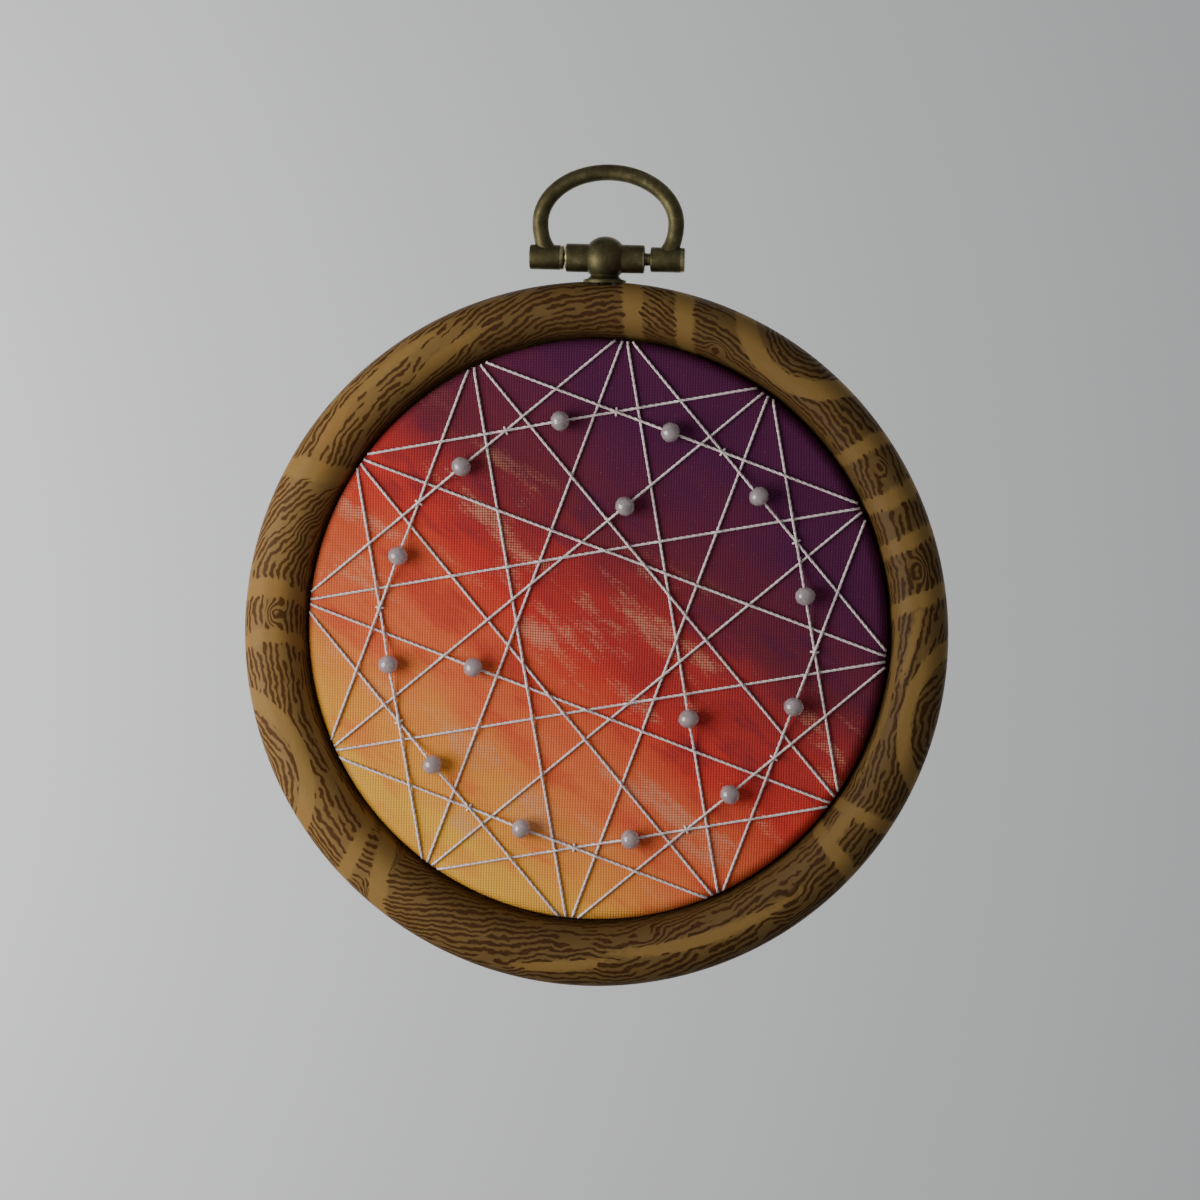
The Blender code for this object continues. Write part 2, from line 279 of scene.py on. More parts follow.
class RingSettings(bpy.types.PropertyGroup):
    """Sizes and colours of the two rings."""

    steps: IntProperty(name="Steps", description="Steps round the rings", default=288, min=48)
    line_pitch: length_setting("Line pitch", "Distance between two printed grain lines", 1.02)
    line_width: length_setting("Line width", "Width of a grain line at its thickest", 0.52)
    tan: colour_setting("Tan", "Colour of the plain bands", (0.262, 0.150, 0.040))
    brown: colour_setting("Brown", "Colour of the vinyl between the lines", (0.158, 0.088, 0.026))
    line: colour_setting("Line", "Colour of the printed lines", (0.031, 0.0108, 0.0014))
    plastic: colour_setting("Plastic", "Colour of the stiff inner ring", (0.30, 0.18, 0.075))


class ClothSettings(bpy.types.PropertyGroup):
    """Weave and paint of the cloth."""

    thickness: length_setting("Thickness", "Thickness of the cloth", 0.42)
    weave: length_setting("Weave", "Distance between two threads of the weave", 0.46)
    purple: colour_setting("Purple", "First paint", (0.080, 0.007, 0.048))
    wine: colour_setting("Wine", "Second paint", (0.155, 0.016, 0.028))
    red: colour_setting("Red", "Third paint", (0.56, 0.035, 0.022))
    orange: colour_setting("Orange", "Fourth paint", (0.72, 0.15, 0.045))
    yellow: colour_setting("Yellow", "Last paint", (0.80, 0.40, 0.045))
    pale: colour_setting("Pale", "Dry-brushed paint", (0.62, 0.31, 0.18))
    cotton: colour_setting("Cotton", "The bare cloth", (0.62, 0.52, 0.40))


class StitchSettings(bpy.types.PropertyGroup):
    """Thread and beads."""

    ply_radius: length_setting("Ply radius", "Radius of one of the two plies", 0.213)
    twist: length_setting("Twist", "Length of one turn of the plies", 2.2)
    thread: colour_setting("Thread", "Colour of the thread", (0.84, 0.73, 0.70))
    bead_radius: length_setting("Bead radius", "Largest radius of a bead", 1.8)
    bead: colour_setting("Bead", "Tint of the beads", (0.56, 0.47, 0.47))


class HangerSettings(bpy.types.PropertyGroup):
    """Metal of the hanger."""

    sides: IntProperty(name="Sides", description="Sides of the round parts", default=48, min=16)
    dark: colour_setting("Dark", "Dark antique finish", (0.128, 0.108, 0.050))
    worn: colour_setting("Worn", "Brass where it is rubbed bright", (0.50, 0.43, 0.23))


class StudioSettings(bpy.types.PropertyGroup):
    """Camera, lights and surroundings."""

    distance: length_setting("Distance", "From the camera to the hoop", 600.0)
    lens: FloatProperty(name="Lens", description="Focal length in millimetres", default=104.7)
    paper: colour_setting("Paper", "Colour of the floor and backdrop", (0.60, 0.60, 0.60))
    key_power: power_setting("Key light", 1.43)
    wash_power: power_setting("Backdrop light", 13.2)
    edge_power: power_setting("Edge light", 1.4)


SETTINGS = (RingSettings, ClothSettings, StitchSettings, HangerSettings, StudioSettings)


def settings(group):
    """The settings of this kind on the current scene."""
    return getattr(bpy.context.scene, PROPERTY_NAMES[group])


PROPERTY_NAMES = {
    RingSettings: "hoop_art_ring",
    ClothSettings: "hoop_art_cloth",
    StitchSettings: "hoop_art_stitches",
    HangerSettings: "hoop_art_hanger",
    StudioSettings: "hoop_art_studio",
}


# Materials


class Value:
    """A number in a material. Arithmetic on it adds Math nodes."""

    def __init__(self, paint, socket):
        self.paint = paint
        self.socket = socket

    def __add__(self, other):
        return self.paint.maths("ADD", self, other)

    def __sub__(self, other):
        return self.paint.maths("SUBTRACT", self, other)

    def __rsub__(self, other):
        return self.paint.maths("SUBTRACT", other, self)

    def __mul__(self, other):
        return self.paint.maths("MULTIPLY", self, other)

    def __truediv__(self, other):
        return self.paint.maths("DIVIDE", self, other)

    def __rtruediv__(self, other):
        return self.paint.maths("DIVIDE", other, self)

    def __pow__(self, other):
        return self.paint.maths("POWER", self, other)

    def __neg__(self):
        return self.paint.maths("MULTIPLY", self, -1)

    def __abs__(self):
        return self.paint.maths("ABSOLUTE", self)

    __radd__ = __add__
    __rmul__ = __mul__


class Paint:
    """A material under construction, with a Principled shader."""

    def __init__(self, name, **constants):
        self.material = bpy.data.materials.new(name)
        self.material.use_nodes = True
        self.tree = self.material.node_tree
        self.shader = self.tree.nodes["Principled BSDF"]
        for socket, value in constants.items():
            self.shader.inputs[socket.replace("_", " ")].default_value = value

    def feed(self, socket, value):
        """Gives a socket a link, a number or a colour."""
        if isinstance(value, Value):
            self.tree.links.new(value.socket, socket)
        elif socket.type == "RGBA" and len(value) == 3:
            socket.default_value = (*value, 1.0)
        else:
            socket.default_value = value

    def node(self, kind, chosen=None, sockets=None, result=0):
        """Adds a node: its settings first, then the values or links of its sockets."""
        made = self.tree.nodes.new(f"ShaderNode{kind}")
        for name, value in (chosen or {}).items():
            if name == "stops":
                self.set_stops(made.color_ramp, value)
            else:
                setattr(made, name, value)
        for name, value in (sockets or {}).items():
            self.feed(made.inputs[name], value)
        if isinstance(result, (tuple, list)):
            return [Value(self, made.outputs[each]) for each in result]
        return Value(self, made.outputs[result])

    @staticmethod
    def set_stops(ramp, stops):
        """Places the stops of a colour ramp, as (position, colour) rows."""
        while len(ramp.elements) < len(stops):
            ramp.elements.new(1.0)
        for element, (position, colour) in zip(ramp.elements, stops):
            element.position = position
            element.color = (*colour, 1.0)

    def maths(self, operation, *values):
        return self.node("Math", {"operation": operation}, dict(enumerate(values)))

    def least(self, first, second):
        return self.maths("MINIMUM", first, second)

    def most(self, first, second):
        return self.maths("MAXIMUM", first, second)

    def limited(self, value):
        return self.node("Clamp", {}, {"Value": value})

    def ease(self, value, start, end):
        """0 at start and 1 at end, with a soft step between."""
        sockets = {"Value": value, "From Min": start, "From Max": end}
        return self.node("MapRange", {"interpolation_type": "SMOOTHSTEP"}, sockets)

    def vector(self, x, y, z):
        return self.node("CombineXYZ", {}, {"X": x, "Y": y, "Z": z})

    def place(self):
        """The point's place on its object, in millimetres."""
        objects = self.node("TexCoord", result="Object")
        scaled = self.node("VectorMath", {"operation": "SCALE"}, {0: objects, "Scale": 1 / MM})
        return self.node("SeparateXYZ", {}, {0: scaled}, ("X", "Y", "Z"))

    def grain(self, vector, scale, detail=2.0, roughness=0.5):
        """Noise from 0 to 1. Its scale is in bumps a millimetre where the vector is in millimetres."""
        sockets = {"Vector": vector, "Scale": scale, "Detail": detail, "Roughness": roughness}
        return self.node("TexNoise", {}, sockets, "Fac")

    def mix(self, factor, first, second, blend="MIX"):
        """A colour from first at 0 to second at 1."""
        chosen = {"data_type": "RGBA", "blend_type": blend, "clamp_factor": True}
        return self.node("Mix", chosen, {0: factor, 6: first, 7: second}, 2)

    def relief(self, height, distance):
        """Gives the surface a small relief: height 1 stands this many millimetres proud."""
        sockets = {"Height": height, "Distance": distance * MM, "Strength": 1.0}
        self.finish(Normal=self.node("Bump", {}, sockets, "Normal"))

    def finish(self, **varying):
        """Links what changes over the surface to the shader."""
        for name, value in varying.items():
            self.feed(self.shader.inputs[name.replace("_", " ")], value)
        return self.material


def tinted(colour, *scales):
    """A colour with its channels scaled, all by one number or each by its own."""
    if len(scales) == 1:
        scales = scales * 3
    return [channel * scale for channel, scale in zip(colour, scales)]


class RingPlace:
    """Where a point lies on the soft ring's surface, for the print."""

    def __init__(self, paint):
        self.paint = paint
        x, y, z = paint.place()
        across = x - (MIDDLE.x + OUTSIDE_SHIFT_X / 2)
        upward = z - (MIDDLE.z + OUTSIDE_SHIFT_Z / 2)
        reach = paint.maths("SQRT", across * across + upward * upward)
        self.round_x = across / reach * FRONT_LINE
        self.round_z = upward / reach * FRONT_LINE
        turn = paint.maths("ARCTAN2", across, upward)
        self.degrees = turn * math.degrees(1) + PRINT_TURN
        self.depth = paint.maths("ARCTAN2", FRONT_LINE - reach, -y) * SECTION_RADIUS

    def noise(self, along, across, third=None, detail=2.0, roughness=0.5):
        """Noise with its own number of bumps a millimetre along the ring and across it."""
        last = self.depth * across if third is None else third
        where = self.paint.vector(self.round_x * along, self.round_z * along, last)
        return self.paint.grain(where, 1.0, detail, roughness)

    def past(self, degrees):
        """Millimetres clockwise along the ring from this angle."""
        turned = self.paint.maths("WRAP", self.degrees - degrees, -180.0, 180.0)
        return turned * MM_PER_DEGREE

    def oval(self, row, shift=None):
        """Distance from an oval's middle, 1 at its edge."""
        along = self.past(row.centre_deg) / row.half_length
        depth = self.depth - row.depth
        if shift is not None:
            depth = depth - shift
        across = depth / row.half_width
        return self.paint.maths("SQRT", along * along + across * across)


def band_gap(paint, ring, band):
    """Millimetres from the edge of a plain band that crosses the ring."""
    slope = (band.opening_deg - band.outside_deg) / (2 * PRINT_HALF_DEPTH)
    middle_deg = (band.opening_deg + band.outside_deg) / 2
    centre = ring.depth * slope + middle_deg
    if band.bow_deg:
        centre = centre + (1 - (ring.depth / PRINT_HALF_DEPTH) ** 2.0) * band.bow_deg
    along = paint.maths("WRAP", ring.degrees - centre, -180.0, 180.0) * MM_PER_DEGREE
    square_on = math.cos(math.atan(slope * MM_PER_DEGREE))
    return abs(along) * square_on - band.width / 2


def print_layout(paint, ring):
    """Millimetres clear of the nearest band and of the nearest long plain mark, and the lines' field."""
    clear = None
    beside = None
    field = ring.depth
    for band in PLAIN_BANDS:
        gap = band_gap(paint, ring, band)
        clear = gap if clear is None else paint.least(clear, gap)
    clear = paint.most(clear, abs(ring.depth) - SEAM_DEPTH)
    for loop in LOOPS:
        oval = ring.oval(loop)
        breadth = (loop.half_length + loop.half_width) / 2
        gap = abs(oval - 1) * breadth - loop.width / 2
        beside = gap if beside is None else paint.least(beside, gap)
        inside = paint.maths("LESS_THAN", oval, 1.0)
        nested = oval * loop.half_width
        field = field + (nested - field) * inside
    for streak in STREAKS:
        along = ring.past(streak.centre_deg)
        oval = ring.oval(streak, along * streak.rise)
        beside = paint.least(beside, (oval - 1) * streak.half_width)
    for knot in KNOTS:
        swell = paint.limited(1 - ring.oval(knot) ** 2.0)
        field = field + swell * swell * knot.lift
    return clear, beside, field


def drift_of_lines(paint, ring):
    """How far the lines have moved across the ring, read round it from the drift rows."""
    share = paint.maths("WRAP", ring.degrees, 0.0, 360.0) / 360.0
    stops = [
        (degrees / 360.0, (across / (2 * DRIFT_REACH) + 0.5,) * 3) for degrees, across in DRIFTS
    ]
    level = paint.node("ValToRGB", {"stops": stops}, {"Fac": share}, "Color")
    level = paint.node("SeparateColor", {}, {0: level}, 0)
    return (level - 0.5) * (2 * DRIFT_REACH)


def light_patches(paint, ring):
    """1 inside the lighter patches, fading to 0 at their edges."""
    lit = None
    for patch in PATCHES:
        share = paint.ease(ring.oval(patch), 1.1, 0.55)
        lit = share if lit is None else paint.most(lit, share)
    return lit


def printed_lines(paint, ring, field, clear, beside, patches, fine, look):
    """1 on the dark grain lines: broken, tapered and forked, and stopping short of plain marks."""
    pitch = look.line_pitch / MM
    half = look.line_width / MM / 2
    swing = ring.noise(0.07, 0.06, detail=1.0) * 5.0
    ripple = ring.noise(0.26, 0.34, detail=2.0) * 1.7
    wiggle = ring.noise(0.75, 0.95, detail=1.0) * 0.75
    rows = (field + drift_of_lines(paint, ring) + swing + ripple + wiggle) / pitch
    nearest = paint.maths("ROUND", rows)
    apart = abs(rows - nearest) * pitch + (fine - 0.5) * 0.22
    wander = ring.noise(0.15, 0.0, nearest * 7.31, detail=1.5)
    stop = ring.noise(0.35, 0.0, nearest * 3.17 + 40.0, detail=0.0)
    need = patches * 0.05 + 0.35
    swell = paint.ease(wander, need, need + 0.08)
    taper = paint.ease(clear + (stop - 0.5) * 1.8, -0.3, 0.45)
    taper = taper * paint.ease(beside + (stop - 0.5) * 0.6, 0.0, 0.25)
    fade = paint.ease(abs(ring.depth), FADE_END, FADE_START)
    thick = swell * taper * fade * (half * (stop * 0.5 + 0.78))
    ink = paint.limited((thick - apart) / (2 * LINE_EDGE) + 0.5)
    return ink * paint.ease(thick, 0.02, 0.12)


def vinyl_finish():
    """Soft tan vinyl with a brown wood-grain print under a satin surface. Painted shade darkens it away
    from the key light on the left, and down into the opening together with a darker print there.
    """
    look = settings(RingSettings)
    paint = Paint("woodgrain_vinyl", Specular_IOR_Level=0.14)
    ring = RingPlace(paint)
    clear, beside, field = print_layout(paint, ring)
    patches = light_patches(paint, ring)
    fine = ring.noise(0.9, 2.2, detail=3.0)
    lines = printed_lines(paint, ring, field, clear, beside, patches, fine, look)
    broad = ring.noise(0.05, 0.08, detail=1.0)
    worked = paint.ease(paint.least(clear, beside) + (fine - 0.5) * 1.2, -0.25, 0.6)
    worked = worked * (1 - patches * 0.35)
    # Painted shade: deeper is 0 on the lit left and 1 towards the right, top and bottom, away from the
    # key light, and darkens the vinyl's colours there
    deeper = paint.ease(ring.round_x + abs(ring.round_z) * 0.45, -48.0, 20.0)
    ruddy = tinted(look.tan, 1.02, 0.90, 0.80)
    golden = paint.mix(paint.ease(broad, 0.35, 0.65), look.tan, ruddy)
    # Painted shade on the tan bands towards the right
    golden = paint.mix(deeper, golden, tinted(look.tan, 0.88))
    # Painted light and shade on the ground between the lines: lighter on the lit left, darker on the
    # right
    brown = paint.mix(deeper, tinted(look.brown, 1.4), tinted(look.brown, 0.80))
    ground = paint.mix(worked, golden, brown)
    ground = paint.mix(fine * 0.25, ground, tinted(look.tan, 0.55))
    # Darker down the inner slope into the opening: painted shade of the recess, together with a darker
    # print there, stronger on the shaded right
    opening_shade_and_print = paint.ease(ring.depth, -0.5, 5.0)
    ground = paint.mix(opening_shade_and_print * (deeper * 0.3 + 0.15), ground, tinted(look.brown, 0.35))
    ink = paint.mix(paint.ease(fine, 0.3, 0.7), look.line, tinted(look.line, 1.7))
    # Painted light on the lines: drawn lighter on the lit left side
    ink = paint.mix(deeper, tinted(look.line, 2.2), ink)
    colour = paint.mix(lines * 0.94, ground, ink)
    rough = paint.ease(broad + fine * 0.3, 0.3, 0.9) * 0.1 + 0.52
    paint.finish(Base_Color=colour, Roughness=rough + lines * 0.06)
    paint.relief(fine, 0.02)
    return paint.material


def plastic_finish():
    """Plain moulded plastic of the inner ring, with faint flow marks and scuffs."""
    look = settings(RingSettings)
    paint = Paint("inner_ring_plastic", Specular_IOR_Level=0.4)
    x, y, z = paint.place()
    broad = paint.grain(paint.vector(x, y, z), 0.12, 2.0)
    scuffs = paint.grain(paint.vector(x, y * 6.0, z), 1.3, 4.0, 0.65)
    dark = tinted(look.plastic, 0.72)
    colour = paint.mix(paint.ease(broad, 0.3, 0.7), dark, look.plastic)
    paint.finish(Base_Color=colour, Roughness=paint.ease(scuffs, 0.3, 0.75) * 0.2 + 0.36)
    paint.relief(scuffs, 0.02)
    return paint.material


class Weave:
    """A plain weave: which thread is on top at a point, and how high it stands."""

    def __init__(self, paint, pitch):
        self.paint = paint
        x, _, z = paint.place()
        self.x, self.z = x, z
        slub_x = paint.grain(paint.vector(x * 2.2, z * 0.06, 0.0), 1.0, 1.0) - 0.5
        slub_z = paint.grain(paint.vector(x * 0.06, z * 2.2, 9.0), 1.0, 1.0) - 0.5
        bow = paint.grain(paint.vector(x, 0.0, z), 0.05, 1.0) - 0.5
        columns = (x + bow * 0.9) / pitch + slub_x * 0.34
        rows = (z + bow * 1.1) / pitch + slub_z * 0.34
        upright = self.thread(paint, columns, rows, 1.0)
        level = self.thread(paint, rows, columns, -1.0)
        self.height = paint.most(upright, level)

    @staticmethod
    def thread(paint, across, along, side):
        """Height of one set of threads, which rise and dip as they cross the other set."""
        index = paint.maths("ROUND", across)
        offset = across - index
        crown = 1 - offset * offset * 4
        turn = paint.maths("COSINE", (index + along) * math.pi) * (side * 0.42)
        return crown * 0.58 + turn

    def shaded(self, colour):
        """A colour darkened where the threads dip: painted shade in the hollows of the weave."""
        shade = self.paint.ease(self.height, -0.25, 0.75) * 0.45 + 0.55
        grey = self.paint.node("CombineColor", {}, {0: shade, 1: shade, 2: shade}, 0)
        return self.paint.mix(1.0, colour, grey, "MULTIPLY")


def painted_finish():
    """Plain-woven cotton, painted in a soft diagonal blend with dry-brushed strokes."""
    look = settings(ClothSettings)
    paint = Paint("painted_cloth", Specular_IOR_Level=0.25, Roughness=0.86)
    weave = Weave(paint, look.weave / MM)
    x, z = weave.x - MIDDLE.x, weave.z - MIDDLE.z
    lean = math.radians(BLEND_LEAN)
    down = x * -math.sin(lean) - z * math.cos(lean)
    sideways = x * math.cos(lean) - z * math.sin(lean)
    broad = paint.grain(paint.vector(sideways * 0.5, down, 3.0), 0.055, 2.0) - 0.5
    brush = paint.grain(paint.vector(sideways * 0.3, down, 7.0), 0.30, 4.0, 0.6) - 0.5
    share = down / (2 * CLOTH_RADIUS) + 0.5 + broad * 0.22 + brush * 0.10
    colours = (look.purple, look.purple, look.wine, look.red, look.orange, look.yellow)
    stops = [(at, tuple(colour)) for at, colour in zip(BLEND_STOPS, colours)]
    blend = paint.node("ValToRGB", {"stops": stops}, {"Fac": share}, "Color")
    loaded = paint.grain(paint.vector(sideways * 0.35, down, 21.0), 0.16, 4.0, 0.6)
    high = paint.ease(weave.height, 0.2, 0.9)
    deeper = paint.node("ValToRGB", {"stops": stops}, {"Fac": share - 0.14}, "Color")
    colour = paint.mix(paint.ease(loaded, 0.48, 0.34) * 0.6, blend, deeper)
    fine = paint.grain(paint.vector(x, 0.0, z), 1.6, 2.0, 0.7)
    painted = paint.ease(share, 0.30, 0.44)
    dry = paint.ease(loaded + fine * 0.22 + high * 0.12, 0.76, 0.90) * painted
    colour = paint.mix(dry * (high * 0.65 + 0.05), colour, look.pale)
    flecks = paint.grain(paint.vector(x, 0.0, z), 2.2, 2.0, 0.7)
    colour = paint.mix(paint.ease(flecks, 0.62, 0.8) * high * 0.22, colour, look.cotton)
    # Painted shade in the dips of the weave
    paint.finish(Base_Color=weave.shaded(colour))
    paint.relief(weave.height + flecks * 0.25, 0.11)
    return paint.material


def bare_cotton_finish():
    """The back of the cloth, where the paint only shows through faintly."""
    look = settings(ClothSettings)
    paint = Paint("bare_cotton", Specular_IOR_Level=0.2, Roughness=0.9)
    weave = Weave(paint, look.weave / MM)
    soak = paint.grain(paint.vector(weave.x, 0.0, weave.z), 0.09, 3.0, 0.6)
    stain = tinted(look.cotton, 0.86, 0.62, 0.60)
    colour = paint.mix(paint.ease(soak, 0.45, 0.75) * 0.6, look.cotton, stain)
    # Painted shade in the dips of the weave
    paint.finish(Base_Color=weave.shaded(colour))
    paint.relief(weave.height, 0.11)
    return paint.material


def thread_finish():
    """Off-white two-ply cotton with fine fuzz along the plies."""
    look = settings(StitchSettings)
    paint = Paint("thread", Specular_IOR_Level=0.3, Roughness=0.78, Sheen_Weight=0.25)
    x, y, z = paint.place()
    where = paint.vector(x, y, z)
    tone = paint.grain(where, 0.18, 2.0)
    fuzz = paint.grain(where, 7.0, 3.0, 0.7)
    dull = tinted(look.thread, 0.90, 0.84, 0.84)
    colour = paint.mix(paint.ease(tone, 0.35, 0.65), look.thread, dull)
    colour = paint.mix(fuzz * 0.12, colour, tinted(look.thread, 0.6))
    paint.finish(Base_Color=colour)
    paint.relief(fuzz, 0.025)
    return paint.material


def bead_finish():
    """Grey translucent glass with faint clouds and slightly rubbed facets."""
    look = settings(StitchSettings)
    paint = Paint(
        "glass_bead", IOR=1.45, Transmission_Weight=0.55, Coat_Weight=1.0, Coat_Roughness=0.04
    )
    x, y, z = paint.place()
    clouds = paint.grain(paint.vector(x, y, z), 0.7, 3.0)
    rubbed = paint.grain(paint.vector(x, y, z), 3.5, 3.0, 0.6)
    pale = [min(c * 1.3, 1.0) for c in look.bead]
    colour = paint.mix(paint.ease(clouds, 0.35, 0.65), look.bead, pale)
    paint.finish(Base_Color=colour, Roughness=paint.ease(rubbed, 0.45, 0.8) * 0.08 + 0.2)
    return paint.material


def brass_finish():
    """Dark antique brass, rubbed bright along the edges of the knuckle, barrels and flange."""
    look = settings(HangerSettings)
    paint = Paint("antique_brass", Metallic=1.0)
    x, y, z = paint.place()
    where = paint.vector(x, y, z)
    cloudy = paint.grain(where, 0.45, 3.0, 0.6)
    pits = paint.grain(where, 3.2, 4.0, 0.65)
    brushed = paint.grain(paint.vector(x * 0.4, y, z), 6.0, 3.0, 0.7)
    side = abs(x - POST_X)
    ends = None
    for place, reach in ((KNUCKLE_HALF, 0.42), (BARREL_OUTER_END, 0.5), (BARREL_INNER_END, 0.4)):
        near = paint.ease(abs(side - place), reach, 0.1)
        ends = near if ends is None else paint.most(ends, near)
    low = paint.ease(z, HINGE.z + 2.6, HINGE.z + 2.2)
    worn = ends * low * paint.ease(cloudy + pits * 0.4, 0.52, 0.82)
    rubs = paint.ease(cloudy * 0.6 + brushed * 0.5, 0.60, 0.76) * 0.35
    worn = paint.most(worn, rubs)
    mottled = paint.mix(paint.ease(cloudy, 0.3, 0.7), tinted(look.dark, 0.6), look.dark)
    colour = paint.mix(worn, mottled, look.worn)
    paint.finish(Base_Color=colour, Roughness=0.52 - worn * 0.18 + (pits - 0.5) * 0.22)
    paint.relief(pits + brushed * 0.4, 0.03)
    return paint.material


def studio_finish(name, colour):
    """Matt pale paper, barely uneven."""
    paint = Paint(name, Roughness=0.95, Specular_IOR_Level=0.1)
    x, y, z = paint.place()
    tone = paint.grain(paint.vector(x, y, z), 0.004, 2.0)
    paint.finish(Base_Color=paint.mix(tone * 0.15, colour, tinted(colour, 0.85)))
    return paint.material


# Shapes


def keep(shape, name, *materials, sharp_deg=40.0):
    """Turns a bmesh into a finished object with its place in its mesh."""
    mesh = bpy.data.meshes.new(name)
    shape.to_mesh(mesh)
    shape.free()
    piece = bpy.data.objects.new(name, mesh)
    bpy.context.scene.collection.objects.link(piece)
    return dressed(piece, *materials, sharp_deg=sharp_deg)


def dressed(piece, *materials, sharp_deg=40.0):
    """Gives a piece its materials, and smooth shading but for edges sharper than this."""
    piece.data.materials.clear()
    for material in materials:
        piece.data.materials.append(material)
    piece.data.shade_smooth()
    piece.data.set_sharp_from_angle(angle=math.radians(sharp_deg))
    return piece


def fitted(piece, body, slot, *nodes):
    """Puts a finished piece on its body, in the place of its solids, which it hides. The slot argument
    is not used.
    """
    if nodes:
        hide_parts(*nodes)
    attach(piece, body)
    return piece


def settle(shape):
    """Merges doubles and points every face outwards."""
    bmesh.ops.remove_doubles(shape, verts=shape.verts, dist=0.000002)
    bmesh.ops.recalc_face_normals(shape, faces=shape.faces)


def arc(centre, radii, start_deg, end_deg, steps):
    """Points of an ellipse as (distance from the axis, height), both ends included."""
    points = []
    for step in range(steps + 1):
        angle = math.radians(start_deg + (end_deg - start_deg) * step / steps)
        across = centre[0] + radii[0] * math.cos(angle)
        points.append((across, centre[1] + radii[1] * math.sin(angle)))
    return points


def turned(shape, profile, centre, axis, closed, steps):
    """Turns a profile of (distance, height) in millimetres about an axis, heights along the axis."""
    outward = UP if abs(axis.z) < 0.5 else RIGHT
    corners = [
        shape.verts.new((centre + outward * across + axis * height) * MM)
        for across, height in profile
    ]
    pairs = list(zip(corners, corners[1:]))
    if closed:
        pairs.append((corners[-1], corners[0]))
    edges = [shape.edges.new(pair) for pair in pairs]
    bmesh.ops.spin(
        shape, geom=corners + edges, cent=centre * MM, axis=axis, angle=FULL_TURN, steps=steps,
        use_merge=True, use_duplicate=False,
    )
    settle(shape)


def grip_side(radius, steps=12):
    """The side at this radius as it bends inwards along the ridge, from front to back."""
    side = []
    for step in range(steps + 1):
        height = GRIP_MIDDLE + GRIP_HALF_WIDTH * (1 - 2 * step / steps)
        phase = math.pi * (height - GRIP_MIDDLE) / GRIP_HALF_WIDTH
        side.append((radius - GRIP_DEPTH * (1 + math.cos(phase)) / 2, height))
    return side


def outer_ring_profile():
    """Rounded section with a flat back and a gripping ridge inside."""
    inner_line = FRONT_LINE - FRONT_LINE_WIDTH / 2
    outer_line = FRONT_LINE + FRONT_LINE_WIDTH / 2
    front = FRONT_HEIGHT - LAND_FRONT
    outer_front = arc((outer_line, LAND_FRONT), (RING_RADIUS - outer_line, front), 90, 0, 16)
    back_sizes = (RING_RADIUS - BACK_FLAT_OUTER, LAND_BACK - BACK_HEIGHT)
    outer_back = arc((BACK_FLAT_OUTER, LAND_BACK), back_sizes, 0, -90, 9)
    inner_front = arc((inner_line, LAND_FRONT), (inner_line - MOUTH_RADIUS, front), 180, 90, 16)
    back_edge = [(BACK_FLAT_INNER, BACK_HEIGHT), (INSIDE_RADIUS, BACK_CHAMFER_START)]
    return outer_front + outer_back + back_edge + grip_side(INSIDE_RADIUS)[::-1] + inner_front


def slide_outside(shape):
    """Slides the ring's outside as its solid has it, and leaves its opening in place."""
    width = RING_RADIUS - INSIDE_RADIUS
    for vertex in shape.verts:
        across = vertex.co.x / MM - MIDDLE.x
        upward = vertex.co.z / MM - MIDDLE.z
        share = min(max((math.hypot(across, upward) - INSIDE_RADIUS) / width, 0), 1)
        vertex.co.x += OUTSIDE_SHIFT_X * MM * share
        vertex.co.z += OUTSIDE_SHIFT_Z * MM * share


def combined(piece, operation, *tools):
    """Joins tools to a piece, or cuts it with them, and removes them."""
    for tool in tools:
        step = piece.modifiers.new(tool.name, "BOOLEAN")
        step.operation = operation
        step.object = tool
    graph = bpy.context.evaluated_depsgraph_get()
    mesh = bpy.data.meshes.new_from_object(piece.evaluated_get(graph))
    piece.modifiers.clear()
    piece.data = mesh
    for tool in tools:
        bpy.data.objects.remove(tool)
    return piece


def solid_of_turn(name, profile, centre, axis, steps):
    """A closed round solid, as an object to join or cut with."""
    shape = bmesh.new()
    turned(shape, profile, centre, axis, False, steps)
    return keep(shape, name)


def rod_profile(radius, start, end, rounding):
    """Half a round bar from one flat end to the other, with rounded edges."""
    if rounding:
        first = arc((radius - rounding, start + rounding), (rounding, rounding), -90, 0, 4)
        last = arc((radius - rounding, end - rounding), (rounding, rounding), 0, 90, 4)
    else:
        first, last = [(radius, start)], [(radius, end)]
    return [(0.0, start), *first, *last, (0.0, end)]


class HOOPART_OT_outer_ring(bpy.types.Operator):
    """Model the soft wood-grain ring, with the socket that its hanger stands in"""

    bl_idname = "hoopart.outer_ring"
    bl_label = "Outer Ring"

    def execute(self, context):
        look = settings(RingSettings)
        shape = bmesh.new()
        turned(shape, outer_ring_profile(), Vector((MIDDLE.x, 0, MIDDLE.z)), FRONT, True, look.steps)
        slide_outside(shape)
        ring = keep(shape, "woodgrain_ring")
        hinge = Vector((POST_X, HINGE.y, HINGE.z))
        socket_floor = FLANGE_BOTTOM - ROOT_GAP
        hole_bottom = FLANGE_BOTTOM - STEM_LENGTH - ROOT_GAP
        profile = [
            (0.0, 0.0),
            (FLANGE_RADIUS + ROOT_GAP, 0.0),
            (FLANGE_RADIUS + ROOT_GAP, socket_floor),
            (STEM_RADIUS + ROOT_GAP, socket_floor),
            (STEM_RADIUS + ROOT_GAP, hole_bottom),
            (0.0, hole_bottom),
        ]
        combined(ring, "DIFFERENCE", solid_of_turn("socket", profile, hinge, UP, 40))
        fitted(dressed(ring, vinyl_finish()), HOOP_BODY, "woodgrain_vinyl", "outer_hoop")
        return {"FINISHED"}


